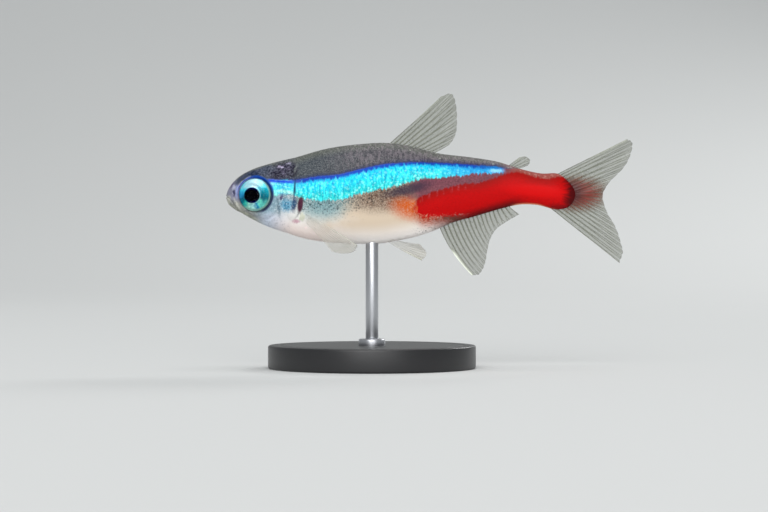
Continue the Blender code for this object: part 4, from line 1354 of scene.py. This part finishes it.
# %% [markdown]
# The base is sprayed satin black, with the faint orange-peel of sprayed paint. The rod is drawn steel: its
# fine lines run along it, so the noise is stretched that way.


# %% Finishes of the stand
def paint_finish():
    f = Finish("satin_black", Base_Color=linear(28, 28, 30), Coat_Weight=0.1, Coat_Roughness=0.3)
    grain = f.noise(f.place(Scale=(1 / MM,) * 3), 6.0, 3.0, 0.6)
    return f.look(Roughness=0.34 + 0.12 * grain, Normal=f.bump(grain, 0.15, 0.03))


def steel_finish():
    f = Finish("drawn_steel", Base_Color=linear(190, 192, 196), Metallic=1.0)
    lines = f.noise(f.place(Scale=(24 / MM, 24 / MM, 0.4 / MM)), 1.0, 3.0, 0.6)
    return f.look(Roughness=0.22 + 0.22 * lines, Normal=f.bump(lines, 0.1, 0.02))


give(paint_finish(), base)
give(steel_finish(), rod, collar)
print("stand finished")

# %% [markdown]
# Every piece rides on the one body, and the solids that it stands for are hidden.

# %% Tie the pieces to the frame
TIES = [
    (skin, "head_skin", ["head", "trunk", "tail"]),
    (scales_left, "body_skin", []),
    (scales_right, "body_skin", []),
    (gill_cover_left, "gill_cover", ["gill_cover_left"]),
    (gill_cover_right, "gill_cover", ["gill_cover_right"]),
    (eyeball_left, "eye", ["eye_left"]),
    (eyeball_right, "eye", ["eye_right"]),
    (cornea_left, "eye", []),
    (cornea_right, "eye", []),
    (fin_caudal, "caudal_membrane", ["fin_caudal_upper", "fin_caudal_lower"]),
    (base, "stand_base", ["stand_base"]),
    (rod, "stand_rod", ["stand_rod"]),
    (collar, "stand_rod", []),
]
TIES += [(fin, "fin_membrane", [fin.name.removesuffix("_skin")]) for fin in fins]
for piece, slot, nodes in TIES:
    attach(piece, "root")
    if nodes:
        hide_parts(*nodes)
print(len(TIES), "pieces")

# %% [markdown]
# The floor runs up into a backdrop without an edge. The camera looks level at the fish's side, at the
# photo's scale, and soft lights shine from above, from the front and from behind.

# %% Studio
FLOOR_SIZE = 2.4  # metres, as are all sizes here but the camera's lens
WALL_HEIGHT = 1.6
FLOOR_BEND = 0.9
CAMERA_DISTANCE = 0.1849
VIEW_CENTRE = (0.00104, 0.00972)
LENS, SENSOR_WIDTH = 100, 36  # millimetres
CLIP_START = 0.005
FISH_MIDDLE = Vector((0, 0, AXIS_HEIGHT * MM))
LIGHTS = [  # name, place, size across and power in watts
    ("overhead", (0.1, 0.05, 0.9), 0.6, 2.8),
    ("front", (-0.15, -0.85, 0.6), 0.9, 7.2),
    ("low", (0.1, -1.2, 0.06), 1.2, 6.5),
    ("rim", (0.35, 0.5, 0.35), 0.2, 1.2),
]
SKY_COLOUR = (0.94, 0.97, 1.0, 1)
SKY_STRENGTH = 0.4


def make_backdrop():
    deselect()
    bpy.ops.mesh.primitive_plane_add(size=FLOOR_SIZE, location=(0, 0, 0))
    floor = named("backdrop")
    points = floor.data.vertices
    select_parts(floor, "EDGE", lambda edge: min(points[i].co.y for i in edge.vertices) > 0)
    bpy.ops.mesh.extrude_region_move(TRANSFORM_OT_translate={"value": (0, 0, WALL_HEIGHT)})
    bpy.ops.object.mode_set(mode="OBJECT")
    apply_modifier(floor, "BEVEL", width=FLOOR_BEND, segments=32, limit_method="ANGLE")
    bpy.ops.object.shade_smooth()
    f = Finish("pale_paper", Roughness=0.9)
    grain = f.noise(f.place(), 3.0, 2.0)
    give(f.look(Base_Color=f.mix((196, 198, 197), (203, 204, 203), grain)), floor)


def add_light(name, place, size, power):
    lamp = bpy.data.lights.new(name, "AREA")
    lamp.shape = "DISK"
    lamp.size = size
    lamp.energy = power
    made = bpy.data.objects.new(name, lamp)
    made.location = place
    made.rotation_euler = (FISH_MIDDLE - Vector(place)).to_track_quat("-Z", "Y").to_euler()
    bpy.context.scene.collection.objects.link(made)


make_backdrop()
for light in LIGHTS:
    add_light(*light)
world = bpy.data.worlds.new("studio")
world.use_nodes = True
sky = world.node_tree.nodes["Background"].inputs
sky["Color"].default_value = SKY_COLOUR
sky["Strength"].default_value = SKY_STRENGTH
bpy.context.scene.world = world
camera_data = bpy.data.cameras.new("camera")
camera_data.lens = LENS
camera_data.sensor_width = SENSOR_WIDTH
camera_data.clip_start = CLIP_START
camera = bpy.data.objects.new("camera", camera_data)
camera.location = (VIEW_CENTRE[0], -CAMERA_DISTANCE, VIEW_CENTRE[1])
camera.rotation_euler = (math.radians(90), 0, 0)
bpy.context.scene.collection.objects.link(camera)
bpy.context.scene.camera = camera
bpy.context.scene.view_settings.view_transform = "Standard"
print("camera", CAMERA_DISTANCE / MM, "mm from the fish")
